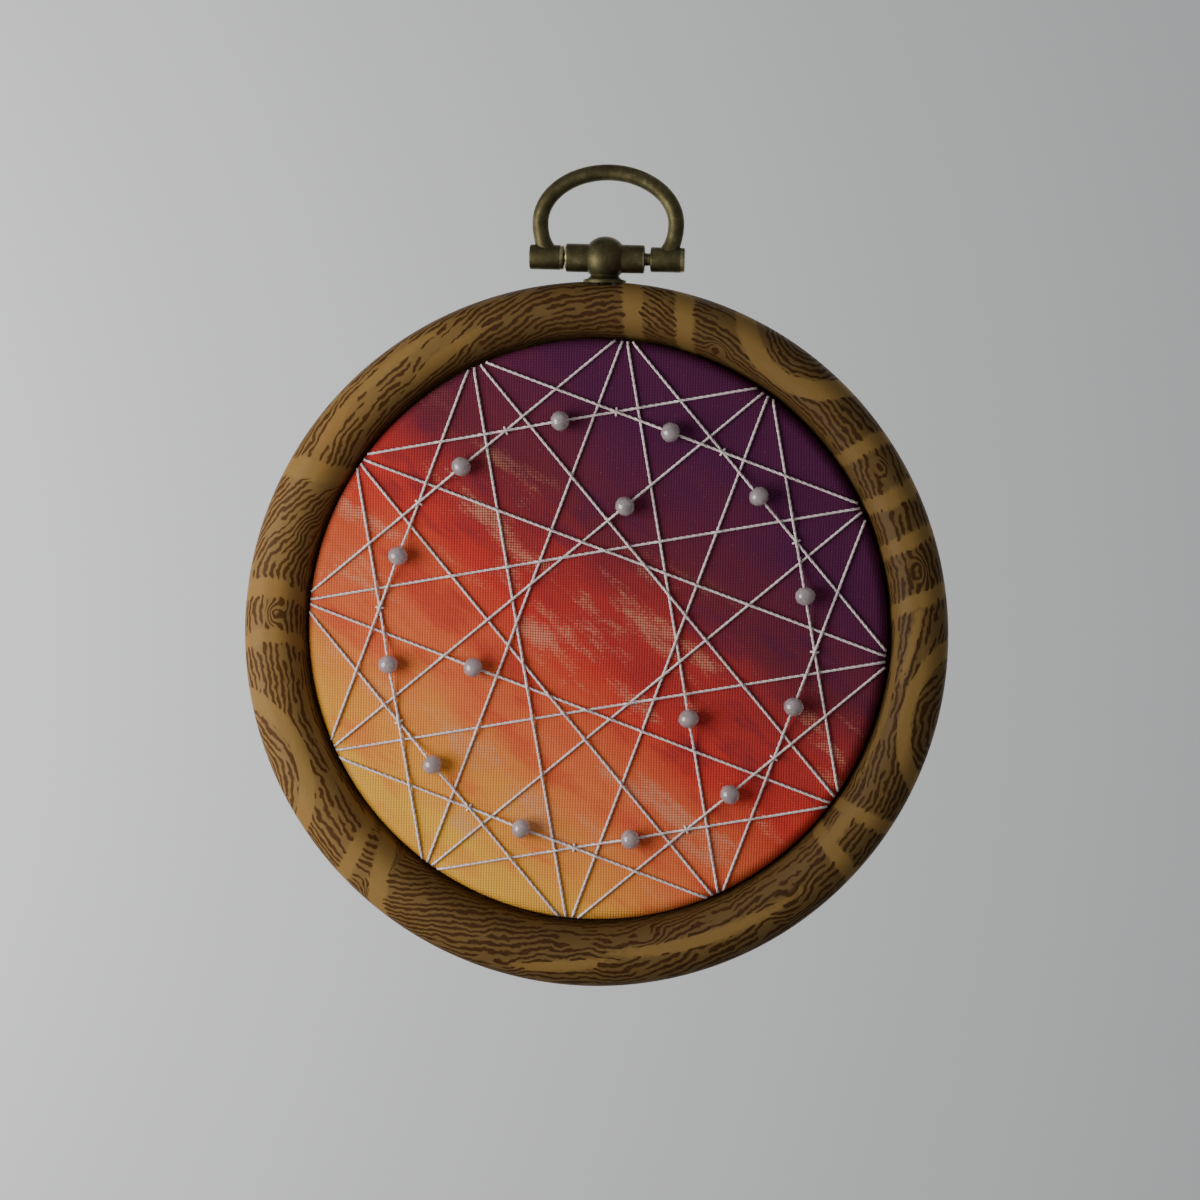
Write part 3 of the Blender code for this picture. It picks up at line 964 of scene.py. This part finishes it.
class HOOPART_OT_inner_ring(bpy.types.Operator):
    """Model the stiff ring that the cloth is stretched over"""

    bl_idname = "hoopart.inner_ring"
    bl_label = "Inner Ring"

    def execute(self, context):
        look = settings(RingSettings)
        cloth = settings(ClothSettings).thickness / MM + SLACK
        radius = CLOTH_RADIUS - cloth
        bend = TURN_RADIUS - cloth
        centre = (CLOTH_RADIUS - TURN_RADIUS, FACE_HEIGHT - TURN_RADIUS)
        front_outer = arc(centre, (bend, bend), 90, 0, 8)
        round_radius = 0.6
        front = centre[1] + bend
        inner = (INNER_BORE + round_radius, front - round_radius)
        front_inner = arc(inner, (round_radius, round_radius), 180, 90, 5)
        back_centre = (radius - round_radius, INNER_BACK + round_radius)
        back_outer = arc(back_centre, (round_radius, round_radius), 0, -90, 4)
        back_inner = arc((inner[0], back_centre[1]), (round_radius, round_radius), -90, -180, 4)
        profile = front_outer + grip_side(radius) + back_outer + back_inner + front_inner
        shape = bmesh.new()
        turned(shape, profile, Vector((MIDDLE.x, 0, MIDDLE.z)), FRONT, True, look.steps // 2)
        ring = keep(shape, "stretcher_ring", plastic_finish())
        fitted(ring, HOOP_BODY, "inner_ring_plastic", "inner_hoop")
        return {"FINISHED"}


def face_height(reach):
    """Height of the cloth's front at this distance from its middle, as it turns down."""
    past = min(max(reach - (CLOTH_RADIUS - TURN_RADIUS), 0.0), TURN_RADIUS)
    return FACE_HEIGHT - TURN_RADIUS + math.sqrt(TURN_RADIUS**2 - past**2)


class HOOPART_OT_cloth(bpy.types.Operator):
    """Model the painted cloth, stretched over the inner ring and turned down between the rings"""

    bl_idname = "hoopart.cloth"
    bl_label = "Cloth"

    def execute(self, context):
        look = settings(ClothSettings)
        flat_edge = CLOTH_RADIUS - TURN_RADIUS
        rings = [(flat_edge * step / 24, FACE_HEIGHT) for step in range(24)]
        turn = arc((flat_edge, FACE_HEIGHT - TURN_RADIUS), (TURN_RADIUS, TURN_RADIUS), 90, 0, 8)
        profile = rings + turn + grip_side(CLOTH_RADIUS) + [(CLOTH_RADIUS, CLOTH_TRIM)]
        shape = bmesh.new()
        centre = Vector((MIDDLE.x, 0, MIDDLE.z))
        turned(shape, profile, centre, FRONT, False, 216)
        if max(shape.faces, key=lambda face: -face.calc_center_median().y).normal.y > 0:
            bmesh.ops.reverse_faces(shape, faces=shape.faces)
        self.pull(shape)
        cloth = keep(shape, "stretched_cloth", painted_finish(), bare_cotton_finish())
        layer = cloth.modifiers.new("thickness", "SOLIDIFY")
        layer.thickness = look.thickness
        layer.offset = -1.0
        layer.material_offset = 1
        layer.material_offset_rim = 1
        fitted(cloth, HOOP_BODY, "painted_cloth", "cloth")
        return {"FINISHED"}

    def pull(self, shape):
        """Leaves the taut cloth a little uneven, most of all near its edge."""
        for vertex in shape.verts:
            across = vertex.co.x / MM - MIDDLE.x
            upward = vertex.co.z / MM - MIDDLE.z
            reach = math.hypot(across, upward)
            if reach > EVEN_RADIUS:
                continue
            angle = math.atan2(across, upward)
            soft = noise.noise(Vector((across, 0, upward)) * SOFT_SCALE) * SOFT_RISE
            tug = noise.noise(Vector((math.sin(angle), math.cos(angle), 2.0)) * TUG_SCALE)
            near_edge = max(0.0, (reach - TUG_START) / TUG_WIDTH) ** 2
            fade = min(1.0, (EVEN_RADIUS - reach) / EVEN_FADE)
            vertex.co.y += (abs(soft) + max(tug, 0.0) * TUG_RISE * near_edge) * fade * MM


Stitch = namedtuple("Stitch", "polygon start end")


def edge_point(index, slide, draw):
    """A place on the cloth's edge, in millimetres, with a small slide along the edge."""
    moved = slide + draw.uniform(-END_JITTER, END_JITTER)
    angle = FULL_TURN * index / STAR_POINTS + STAR_TURN + moved / END_RADIUS
    across = math.sin(angle) * END_RADIUS
    return Vector((MIDDLE.x + across, 0.0, MIDDLE.z + math.cos(angle) * END_RADIUS))


def star_stitches():
    """Every long stitch of the star, in the order in which they lie over each other."""
    draw = random.Random(12)
    made = []
    for polygon in POLYGONS:
        for index in range(STAR_POINTS):
            start = edge_point(index, polygon.slide, draw)
            end = edge_point(index + polygon.step, -polygon.slide, draw)
            made.append(Stitch(polygon.name, start, end))
    return made


def crossing(first, second):
    """How far along the first stitch it meets the second, or None."""
    along = first.end - first.start
    other = second.end - second.start
    slant = along.x * other.z - along.z * other.x
    if abs(slant) < 1e-9:
        return None
    apart = second.start - first.start
    share = (apart.x * other.z - apart.z * other.x) / slant
    other_share = (apart.x * along.z - apart.z * along.x) / slant
    if not (0 < share < 1 and 0 < other_share < 1):
        return None
    return share * along.length


def beads_on(stitches):
    """Each bead as (stitch index, millimetres along that stitch)."""
    found = []
    for name, every, offset in BEAD_PLACES:
        own = [number for number, stitch in enumerate(stitches) if stitch.polygon == name]
        for number in own[::every]:
            length = (stitches[number].end - stitches[number].start).length
            found.append((number, length / 2 + offset))
    return found


class Rise:
    """How high a stitch's middle stands over the cloth's flat face, at each place along it."""

    def __init__(self, stitches, number, look):
        self.stitch = stitches[number]
        self.radius = (1 + PLY_SPREAD) * look.ply_radius / MM * 0.95
        self.lifts = []
        for lower in stitches[:number]:
            along = crossing(self.stitch, lower)
            if along is not None:
                self.lifts.append(along)
        bead = look.bead_radius / MM
        self.tents = [along for owner, along in beads_on(stitches) if owner == number]
        self.tent_height = bead - self.radius

    def at(self, along):
        direction = (self.stitch.end - self.stitch.start).normalized()
        place = self.stitch.start + direction * along - MIDDLE
        height = face_height(math.hypot(place.x, place.z)) + self.radius
        bumps = [math.exp(-(((along - lift) / LIFT_REACH) ** 2)) for lift in self.lifts]
        lifted = min(sum(bumps), LIFT_LIMIT) * LIFT_SHARE * self.radius
        tent = 0.0
        for middle in self.tents:
            share = max(0.0, 1 - abs(along - middle) / BEAD_TENT)
            tent = max(tent, self.tent_height * share * share * (2 - share))
        return height + max(lifted, tent)


def take_in(shape, part):
    """Adds a part's mesh to a larger one."""
    held = bpy.data.meshes.new("part")
    part.to_mesh(held)
    part.free()
    shape.from_mesh(held)
    bpy.data.meshes.remove(held)


def lay_thread(shape, start, direction, length, look, rise):
    """Spins two plies round each other along a straight stitch, then bends them to their rise."""
    turns = length / (look.twist / MM)
    steps = max(4, round(turns * STEPS_IN_TWIST))
    across = direction.cross(FRONT).normalized()
    facing = direction.to_track_quat("Z", "Y").to_matrix().to_4x4()
    thread = bmesh.new()
    for side in (-1, 1):
        centre = start * MM + across * (look.ply_radius * PLY_SPREAD * side)
        bmesh.ops.create_circle(
            thread,
            cap_ends=True,
            segments=5,
            radius=look.ply_radius,
            matrix=Matrix.Translation(centre) @ facing,
        )
    bmesh.ops.spin(
        thread,
        geom=[*thread.verts, *thread.edges, *thread.faces],
        cent=start * MM,
        axis=direction,
        dvec=direction * (length * MM / steps),
        angle=FULL_TURN * turns,
        steps=steps,
        use_merge=False,
        use_duplicate=False,
    )
    for vertex in thread.verts:
        along = (vertex.co / MM - start).dot(direction)
        vertex.co += FRONT * (rise(along) * MM)
    bmesh.ops.recalc_face_normals(thread, faces=thread.faces)
    take_in(shape, thread)


class HOOPART_OT_stitches(bpy.types.Operator):
    """Lay the long white stitches of the star, each over the ones before it"""

    bl_idname = "hoopart.stitches"
    bl_label = "Star Stitches"

    def execute(self, context):
        look = settings(StitchSettings)
        finish = thread_finish()
        stitches = star_stitches()
        for polygon in POLYGONS:
            shape = bmesh.new()
            for number, stitch in enumerate(stitches):
                if stitch.polygon != polygon.name:
                    continue
                run = stitch.end - stitch.start
                rise = Rise(stitches, number, look)
                lay_thread(shape, stitch.start, run.normalized(), run.length, look, rise.at)
            piece = keep(shape, polygon.name, finish, sharp_deg=180.0)
            fitted(piece, HOOP_BODY, "thread")
        return {"FINISHED"}


def tie_places(stitches):
    """Where neighbouring stitches of the outer polygon cross, and the way the ties run."""
    outer = [stitch for stitch in stitches if stitch.polygon == POLYGONS[1].name]
    for first, second in zip(outer, outer[1:] + outer[:1]):
        along = crossing(first, second)
        if along is None:
            raise RuntimeError("two neighbouring stitches of the outer polygon don't cross")
        place = first.start + (first.end - first.start).normalized() * along
        yield place, (place - MIDDLE).normalized()


class HOOPART_OT_ties(bpy.types.Operator):
    """Tie down the outer crossings with small stitches, which also show behind the cloth"""

    bl_idname = "hoopart.ties"
    bl_label = "Tying Stitches"

    def execute(self, context):
        look = settings(StitchSettings)
        finish = bpy.data.materials["thread"]
        stitches = star_stitches()
        front = bmesh.new()
        back = bmesh.new()
        back_height = FACE_HEIGHT - settings(ClothSettings).thickness / MM
        thread = (1 + PLY_SPREAD) * look.ply_radius / MM
        draw = random.Random(5)
        for place, outward in tie_places(stitches):
            outward = Vector((outward.x, 0, outward.z)).normalized()
            self.arch(front, place, outward, look, 0.62, 1.9 * thread)
            half = draw.uniform(1.4, 2.2)
            start = Vector((place.x, 0, place.z)) - outward * half
            lean = Matrix.Rotation(draw.uniform(-0.25, 0.25), 3, "Y") @ outward

            def behind(along, half=half):
                share = min(max(along / (2 * half), 0.0), 1.0)
                return back_height - 0.05 - 0.4 * math.sin(math.pi * share)

            lay_thread(back, start, lean, 2 * half, look, behind)
        for piece_shape, name in ((front, "tying_stitches"), (back, "back_stitches")):
            fitted(keep(piece_shape, name, finish, sharp_deg=180.0), HOOP_BODY, "thread")
        return {"FINISHED"}

    def arch(self, shape, place, outward, look, reach, top):
        """Half a loop of thin thread over a crossing, its feet in the cloth."""
        foot = Vector((place.x, 0, place.z)) + FRONT * FACE_HEIGHT
        sideways = outward.cross(FRONT).normalized()
        facing = FRONT.to_track_quat("Z", "Y").to_matrix().to_4x4()
        start = foot + outward * reach
        loop = bmesh.new()
        bmesh.ops.create_circle(
            loop,
            cap_ends=True,
            segments=8,
            radius=look.ply_radius * 0.95,
            matrix=Matrix.Translation(start * MM) @ facing,
        )
        bmesh.ops.spin(
            loop,
            geom=[*loop.verts, *loop.edges, *loop.faces],
            cent=foot * MM,
            axis=sideways,
            angle=math.pi,
            steps=12,
            use_merge=False,
            use_duplicate=False,
        )
        for vertex in loop.verts:
            height = -vertex.co.y / MM - FACE_HEIGHT
            vertex.co.y = -(FACE_HEIGHT + height * top / reach) * MM
        bmesh.ops.recalc_face_normals(loop, faces=loop.faces)
        take_in(shape, loop)


class HOOPART_OT_beads(bpy.types.Operator):
    """Cut fifteen faceted glass beads and thread them on their stitches"""

    bl_idname = "hoopart.beads"
    bl_label = "Beads"

    def execute(self, context):
        look = settings(StitchSettings)
        stitches = star_stitches()
        draw = random.Random(3)
        beads = bmesh.new()
        for number, along in beads_on(stitches):
            stitch = stitches[number]
            direction = (stitch.end - stitch.start).normalized()
            place = stitch.start + direction * along
            place.y = -Rise(stitches, number, look).at(along)
            bead = self.cut_bead(look)
            facing = direction.to_track_quat("Z", "Y").to_matrix().to_4x4()
            spun = Matrix.Rotation(draw.uniform(0, FULL_TURN), 4, "Z")
            bmesh.ops.transform(
                bead, matrix=Matrix.Translation(place * MM) @ facing @ spun, verts=bead.verts
            )
            take_in(beads, bead)
        piece = keep(beads, "glass_beads", bead_finish(), sharp_deg=60.0)
        fitted(piece, HOOP_BODY, "glass_bead")
        return {"FINISHED"}

    def cut_bead(self, look):
        """A bead with flat facets round a hole along its own Z axis."""
        radius = look.bead_radius
        sides = 8
        girdles = (
            # share of the radius, height as a share of the radius, and half a facet's turn
            (0.46, -0.84, 0.0),
            (0.88, -0.46, 0.5),
            (1.02, 0.0, 0.0),
            (0.88, 0.46, 0.5),
            (0.46, 0.84, 0.0),
        )
        bead = bmesh.new()
        for share, height, half in girdles:
            turn = Matrix.Rotation(FULL_TURN * half / sides, 4, "Z")
            lift = Matrix.Translation((0, 0, height * radius))
            bmesh.ops.create_circle(
                bead, segments=sides, radius=share * radius, matrix=lift @ turn
            )
        bmesh.ops.convex_hull(bead, input=bead.verts)
        bmesh.ops.dissolve_limit(
            bead, angle_limit=math.radians(1), verts=bead.verts, edges=bead.edges
        )
        settle(bead)
        ends = sorted(bead.faces, key=lambda face: abs(face.calc_center_median().z))[-2:]
        bmesh.ops.inset_individual(bead, faces=ends, thickness=radius * 0.2)
        rims = list({edge for face in ends for edge in face.edges})
        bmesh.ops.delete(bead, geom=ends, context="FACES_ONLY")
        bmesh.ops.bridge_loops(bead, edges=rims)
        settle(bead)
        return bead


def rod_mesh(name, sides):
    """The bail's bent rod, a little thicker where it runs into its barrels."""
    line = bpy.data.curves.new(f"{name}_line", "CURVE")
    line.dimensions = "3D"
    line.bevel_depth = ROD_RADIUS * MM
    line.bevel_resolution = sides // 4
    line.use_fill_caps = True
    spline = line.splines.new("POLY")
    dip = math.asin((ARCH_CENTRE - ARCH_FOOT) / LEG_HALF_HEIGHT)
    count = 97
    spline.points.add(count - 1)
    for step, point in enumerate(spline.points):
        angle = -dip + (math.pi + 2 * dip) * step / (count - 1)
        rise = math.sin(angle)
        half_height = ARCH_HALF_HEIGHT if rise > 0 else LEG_HALF_HEIGHT
        height = ARCH_CENTRE + half_height * rise
        across = ARCH_HALF_WIDTH * math.cos(angle)
        point.co = (across * MM, HINGE.y * MM, (HINGE.z + height) * MM, 1)
        foot = max(0.0, 1 - (height - BARREL_RADIUS * 0.7) / 2.2)
        point.radius = 1 + 0.16 * min(foot, 1.0) ** 2
    source = bpy.data.objects.new(f"{name}_source", line)
    bpy.context.scene.collection.objects.link(source)
    graph = bpy.context.evaluated_depsgraph_get()
    shape = bmesh.new()
    evaluated = bpy.data.meshes.new_from_object(source.evaluated_get(graph))
    shape.from_mesh(evaluated)
    bpy.data.meshes.remove(evaluated)
    bpy.data.objects.remove(source)
    settle(shape)
    return keep(shape, name)


class HOOPART_OT_hanger(bpy.types.Operator):
    """Model the hanger: the post with its ball and knuckle, the pin and the bail"""

    bl_idname = "hoopart.hanger"
    bl_label = "Hanger"

    def execute(self, context):
        sides = settings(HangerSettings).sides
        brass = brass_finish()
        self.finish(self.make_post(sides), brass, HOOP_BODY, "hanger_post")
        self.finish(self.make_bail(sides), brass, BAIL_BODY, "bail")
        pin = self.bar("hinge_rod", PIN_RADIUS, PIN_LOW.x, PIN_HIGH.x, HINGE.x, 24)
        self.finish(pin, brass, BAIL_BODY, "hinge_pin")
        return {"FINISHED"}

    def bar(self, name, radius, start, end, x, sides, rounding=0.25):
        """A round bar along X between two distances from x, on the hinge's axis."""
        centre = Vector((x, HINGE.y, HINGE.z))
        return solid_of_turn(name, rod_profile(radius, start, end, rounding), centre, RIGHT, sides)

    def make_post(self, sides):
        hinge = Vector((POST_X, HINGE.y, HINGE.z))
        flange_top = FLANGE_BOTTOM + FLANGE_EDGE
        neck_top = -math.sqrt(BALL_RADIUS**2 - NECK_RADIUS**2) + ROOT_GAP
        flare = arc(
            (FLANGE_RADIUS, neck_top),
            (FLANGE_RADIUS - NECK_RADIUS, neck_top - flange_top),
            180,
            262,
            10,
        )
        edge = 0.18
        profile = [
            (0.0, neck_top + 1.0),
            (NECK_RADIUS, neck_top + 1.0),
            *flare,
            *arc((FLANGE_RADIUS - edge, flange_top - edge), (edge, edge), 80, 0, 4),
            (FLANGE_RADIUS, FLANGE_BOTTOM),
            (STEM_RADIUS, FLANGE_BOTTOM),
            (STEM_RADIUS, FLANGE_BOTTOM - STEM_LENGTH),
            (0.0, FLANGE_BOTTOM - STEM_LENGTH),
        ]
        post = solid_of_turn("ball_post", profile, hinge, UP, sides)
        shape = bmesh.new()
        bmesh.ops.create_uvsphere(
            shape,
            u_segments=sides,
            v_segments=sides // 2,
            radius=BALL_RADIUS * MM,
            matrix=Matrix.Translation(hinge * MM),
        )
        ball = keep(shape, "ball")
        knuckle = self.bar("knuckle", KNUCKLE_RADIUS, -KNUCKLE_HALF, KNUCKLE_HALF, POST_X, sides)
        combined(post, "UNION", ball, knuckle)
        reach = KNUCKLE_HALF + 1
        bore = self.bar("bore", BORE_RADIUS, -reach, reach, POST_X, 24, rounding=0.0)
        return combined(post, "DIFFERENCE", bore)

    def make_bail(self, sides):
        bail = rod_mesh("hinged_bail", sides // 2)
        barrels = []
        bores = []
        for name, side in (("left", -1), ("right", 1)):
            ends = sorted((side * BARREL_INNER_END, side * BARREL_OUTER_END))
            barrels.append(self.bar(f"{name}_barrel", BARREL_RADIUS, *ends, HINGE.x, sides))
            ends = sorted((side * (BARREL_INNER_END - 1), side * BORE_OUTER_END))
            bores.append(self.bar(f"{name}_bore", BORE_RADIUS, *ends, HINGE.x, 24, rounding=0.0))
        combined(bail, "UNION", *barrels)
        return combined(bail, "DIFFERENCE", *bores)

    def finish(self, piece, brass, body, node):
        fitted(dressed(piece, brass, sharp_deg=34.0), body, "antique_brass", node)


# How the photograph is framed, in degrees and in millimetres at the hoop
VIEW_AZIMUTH = 4.0
VIEW_ELEVATION = 2.0
VIEW_ROLL = 1.6
VIEW_RIGHT = 0.9
VIEW_ABOVE = 5.95

# The studio, in millimetres
FLOOR = -1000.0
BACKDROP_DISTANCE = 1100.0
STUDIO_REACH = 3500.0
WASH_PLACE = Vector((-900.0, 450.0, -150.0))
WASH_TARGET_X = -500.0
WASH_SIZE = 700.0
KEY_AZIMUTH = -55.0
KEY_ELEVATION = -3.0
KEY_DISTANCE = 340.0
KEY_SIZE = 280.0
EDGE_OFFSET = Vector((0.0, 350.0, 60.0))
EDGE_SIZE = 800.0


class HOOPART_OT_studio(bpy.types.Operator):
    """Set up the camera, the lights and a pale floor that curves up into a backdrop"""

    bl_idname = "hoopart.studio"
    bl_label = "Studio"

    def execute(self, context):
        look = settings(StudioSettings)
        hoop = Vector((MIDDLE.x + OUTSIDE_SHIFT_X, 0, MIDDLE.z + OUTSIDE_SHIFT_Z)) * MM
        self.make_camera(context.scene, look, hoop)
        self.make_surroundings(look)
        key = hoop + self.away(KEY_AZIMUTH, KEY_ELEVATION) * (KEY_DISTANCE * MM)
        self.make_light("key", hoop, key, KEY_SIZE, look.key_power)
        backdrop = Vector((WASH_TARGET_X * MM, BACKDROP_DISTANCE * MM, hoop.z))
        self.make_light("backdrop_light", backdrop, WASH_PLACE * MM, WASH_SIZE, look.wash_power)
        self.make_light("edge_light", hoop, hoop + EDGE_OFFSET * MM, EDGE_SIZE, look.edge_power)
        self.make_world(context.scene)
        return {"FINISHED"}

    def make_camera(self, scene, look, hoop):
        back = self.away(VIEW_AZIMUTH, VIEW_ELEVATION)
        facing = (-back).to_track_quat("-Z", "Y").to_matrix().to_4x4()
        turned_view = facing @ Matrix.Rotation(math.radians(VIEW_ROLL), 4, "Z")
        aim = hoop + turned_view.to_3x3() @ Vector((VIEW_RIGHT, VIEW_ABOVE, 0)) * MM
        lens = bpy.data.cameras.new("camera")
        lens.lens = look.lens
        lens.sensor_width = 36.0
        lens.clip_start = 0.02
        lens.clip_end = 20.0
        camera = bpy.data.objects.new("camera", lens)
        camera.matrix_world = Matrix.Translation(aim + back * look.distance) @ turned_view
        scene.collection.objects.link(camera)
        scene.camera = camera

    def make_surroundings(self, look):
        """A floor that curves up into a backdrop behind the hoop."""
        cove = BACKDROP_DISTANCE / 2
        curve = arc((BACKDROP_DISTANCE - cove, FLOOR + cove), (cove, cove), -90, 0, 24)
        profile = [(-STUDIO_REACH, FLOOR), *curve, (BACKDROP_DISTANCE, STUDIO_REACH)]
        shape = bmesh.new()
        corners = [shape.verts.new(Vector((-STUDIO_REACH, y, z)) * MM) for y, z in profile]
        edges = [shape.edges.new(pair) for pair in zip(corners, corners[1:])]
        swept = bmesh.ops.extrude_edge_only(shape, edges=edges)["geom"]
        moved = [part for part in swept if isinstance(part, bmesh.types.BMVert)]
        bmesh.ops.translate(shape, verts=moved, vec=RIGHT * (2 * STUDIO_REACH * MM))
        bmesh.ops.recalc_face_normals(shape, faces=shape.faces)
        room = keep(shape, "floor_and_backdrop", studio_finish("pale_paper", look.paper))

    def away(self, azimuth_deg, elevation_deg):
        """The direction from the hoop to a place seen at these angles; 0, 0 is straight in front."""
        azimuth = math.radians(azimuth_deg)
        elevation = math.radians(elevation_deg)
        level = math.cos(elevation)
        return Vector(
            (math.sin(azimuth) * level, -math.cos(azimuth) * level, math.sin(elevation))
        )

    def make_light(self, name, target, place, size, power):
        data = bpy.data.lights.new(name, "AREA")
        data.shape = "DISK"
        data.size = size * MM
        data.energy = power
        lamp = bpy.data.objects.new(name, data)
        facing = (target - place).to_track_quat("-Z", "Y").to_matrix().to_4x4()
        lamp.matrix_world = Matrix.Translation(place) @ facing
        lamp.visible_camera = False
        lamp.visible_transmission = False
        bpy.context.scene.collection.objects.link(lamp)

    def make_world(self, scene):
        world = bpy.data.worlds.new("studio_air")
        world.use_nodes = True
        sky = world.node_tree.nodes["Background"]
        sky.inputs["Color"].default_value = (0.92, 0.96, 1.0, 1.0)
        sky.inputs["Strength"].default_value = 0.35
        scene.world = world


OPERATORS = (
    HOOPART_OT_outer_ring,
    HOOPART_OT_inner_ring,
    HOOPART_OT_cloth,
    HOOPART_OT_stitches,
    HOOPART_OT_ties,
    HOOPART_OT_beads,
    HOOPART_OT_hanger,
    HOOPART_OT_studio,
)


class HOOPART_PT_panel(bpy.types.Panel):
    """Lists the pieces of the hoop picture and the sizes that a user would change"""

    bl_idname = "HOOPART_PT_panel"
    bl_label = "Hoop Embroidery Art"
    bl_space_type = "VIEW_3D"
    bl_region_type = "UI"
    bl_category = "Hoop Art"

    def draw(self, context):
        for group in SETTINGS:
            box = self.layout.box()
            held = settings(group)
            for name in group.__annotations__:
                box.prop(held, name)
        for operator in OPERATORS:
            self.layout.operator(operator.bl_idname)


def register():
    for group in SETTINGS:
        bpy.utils.register_class(group)
        setattr(bpy.types.Scene, PROPERTY_NAMES[group], PointerProperty(type=group))
    for made in (*OPERATORS, HOOPART_PT_panel):
        bpy.utils.register_class(made)


def unregister():
    for made in reversed((*OPERATORS, HOOPART_PT_panel)):
        bpy.utils.unregister_class(made)
    for group in reversed(SETTINGS):
        delattr(bpy.types.Scene, PROPERTY_NAMES[group])
        bpy.utils.unregister_class(group)


def main():
    register()
    for operator in OPERATORS:
        family, name = operator.bl_idname.split(".")
        getattr(getattr(bpy.ops, family), name)()


if __name__ == "__main__":
    main()
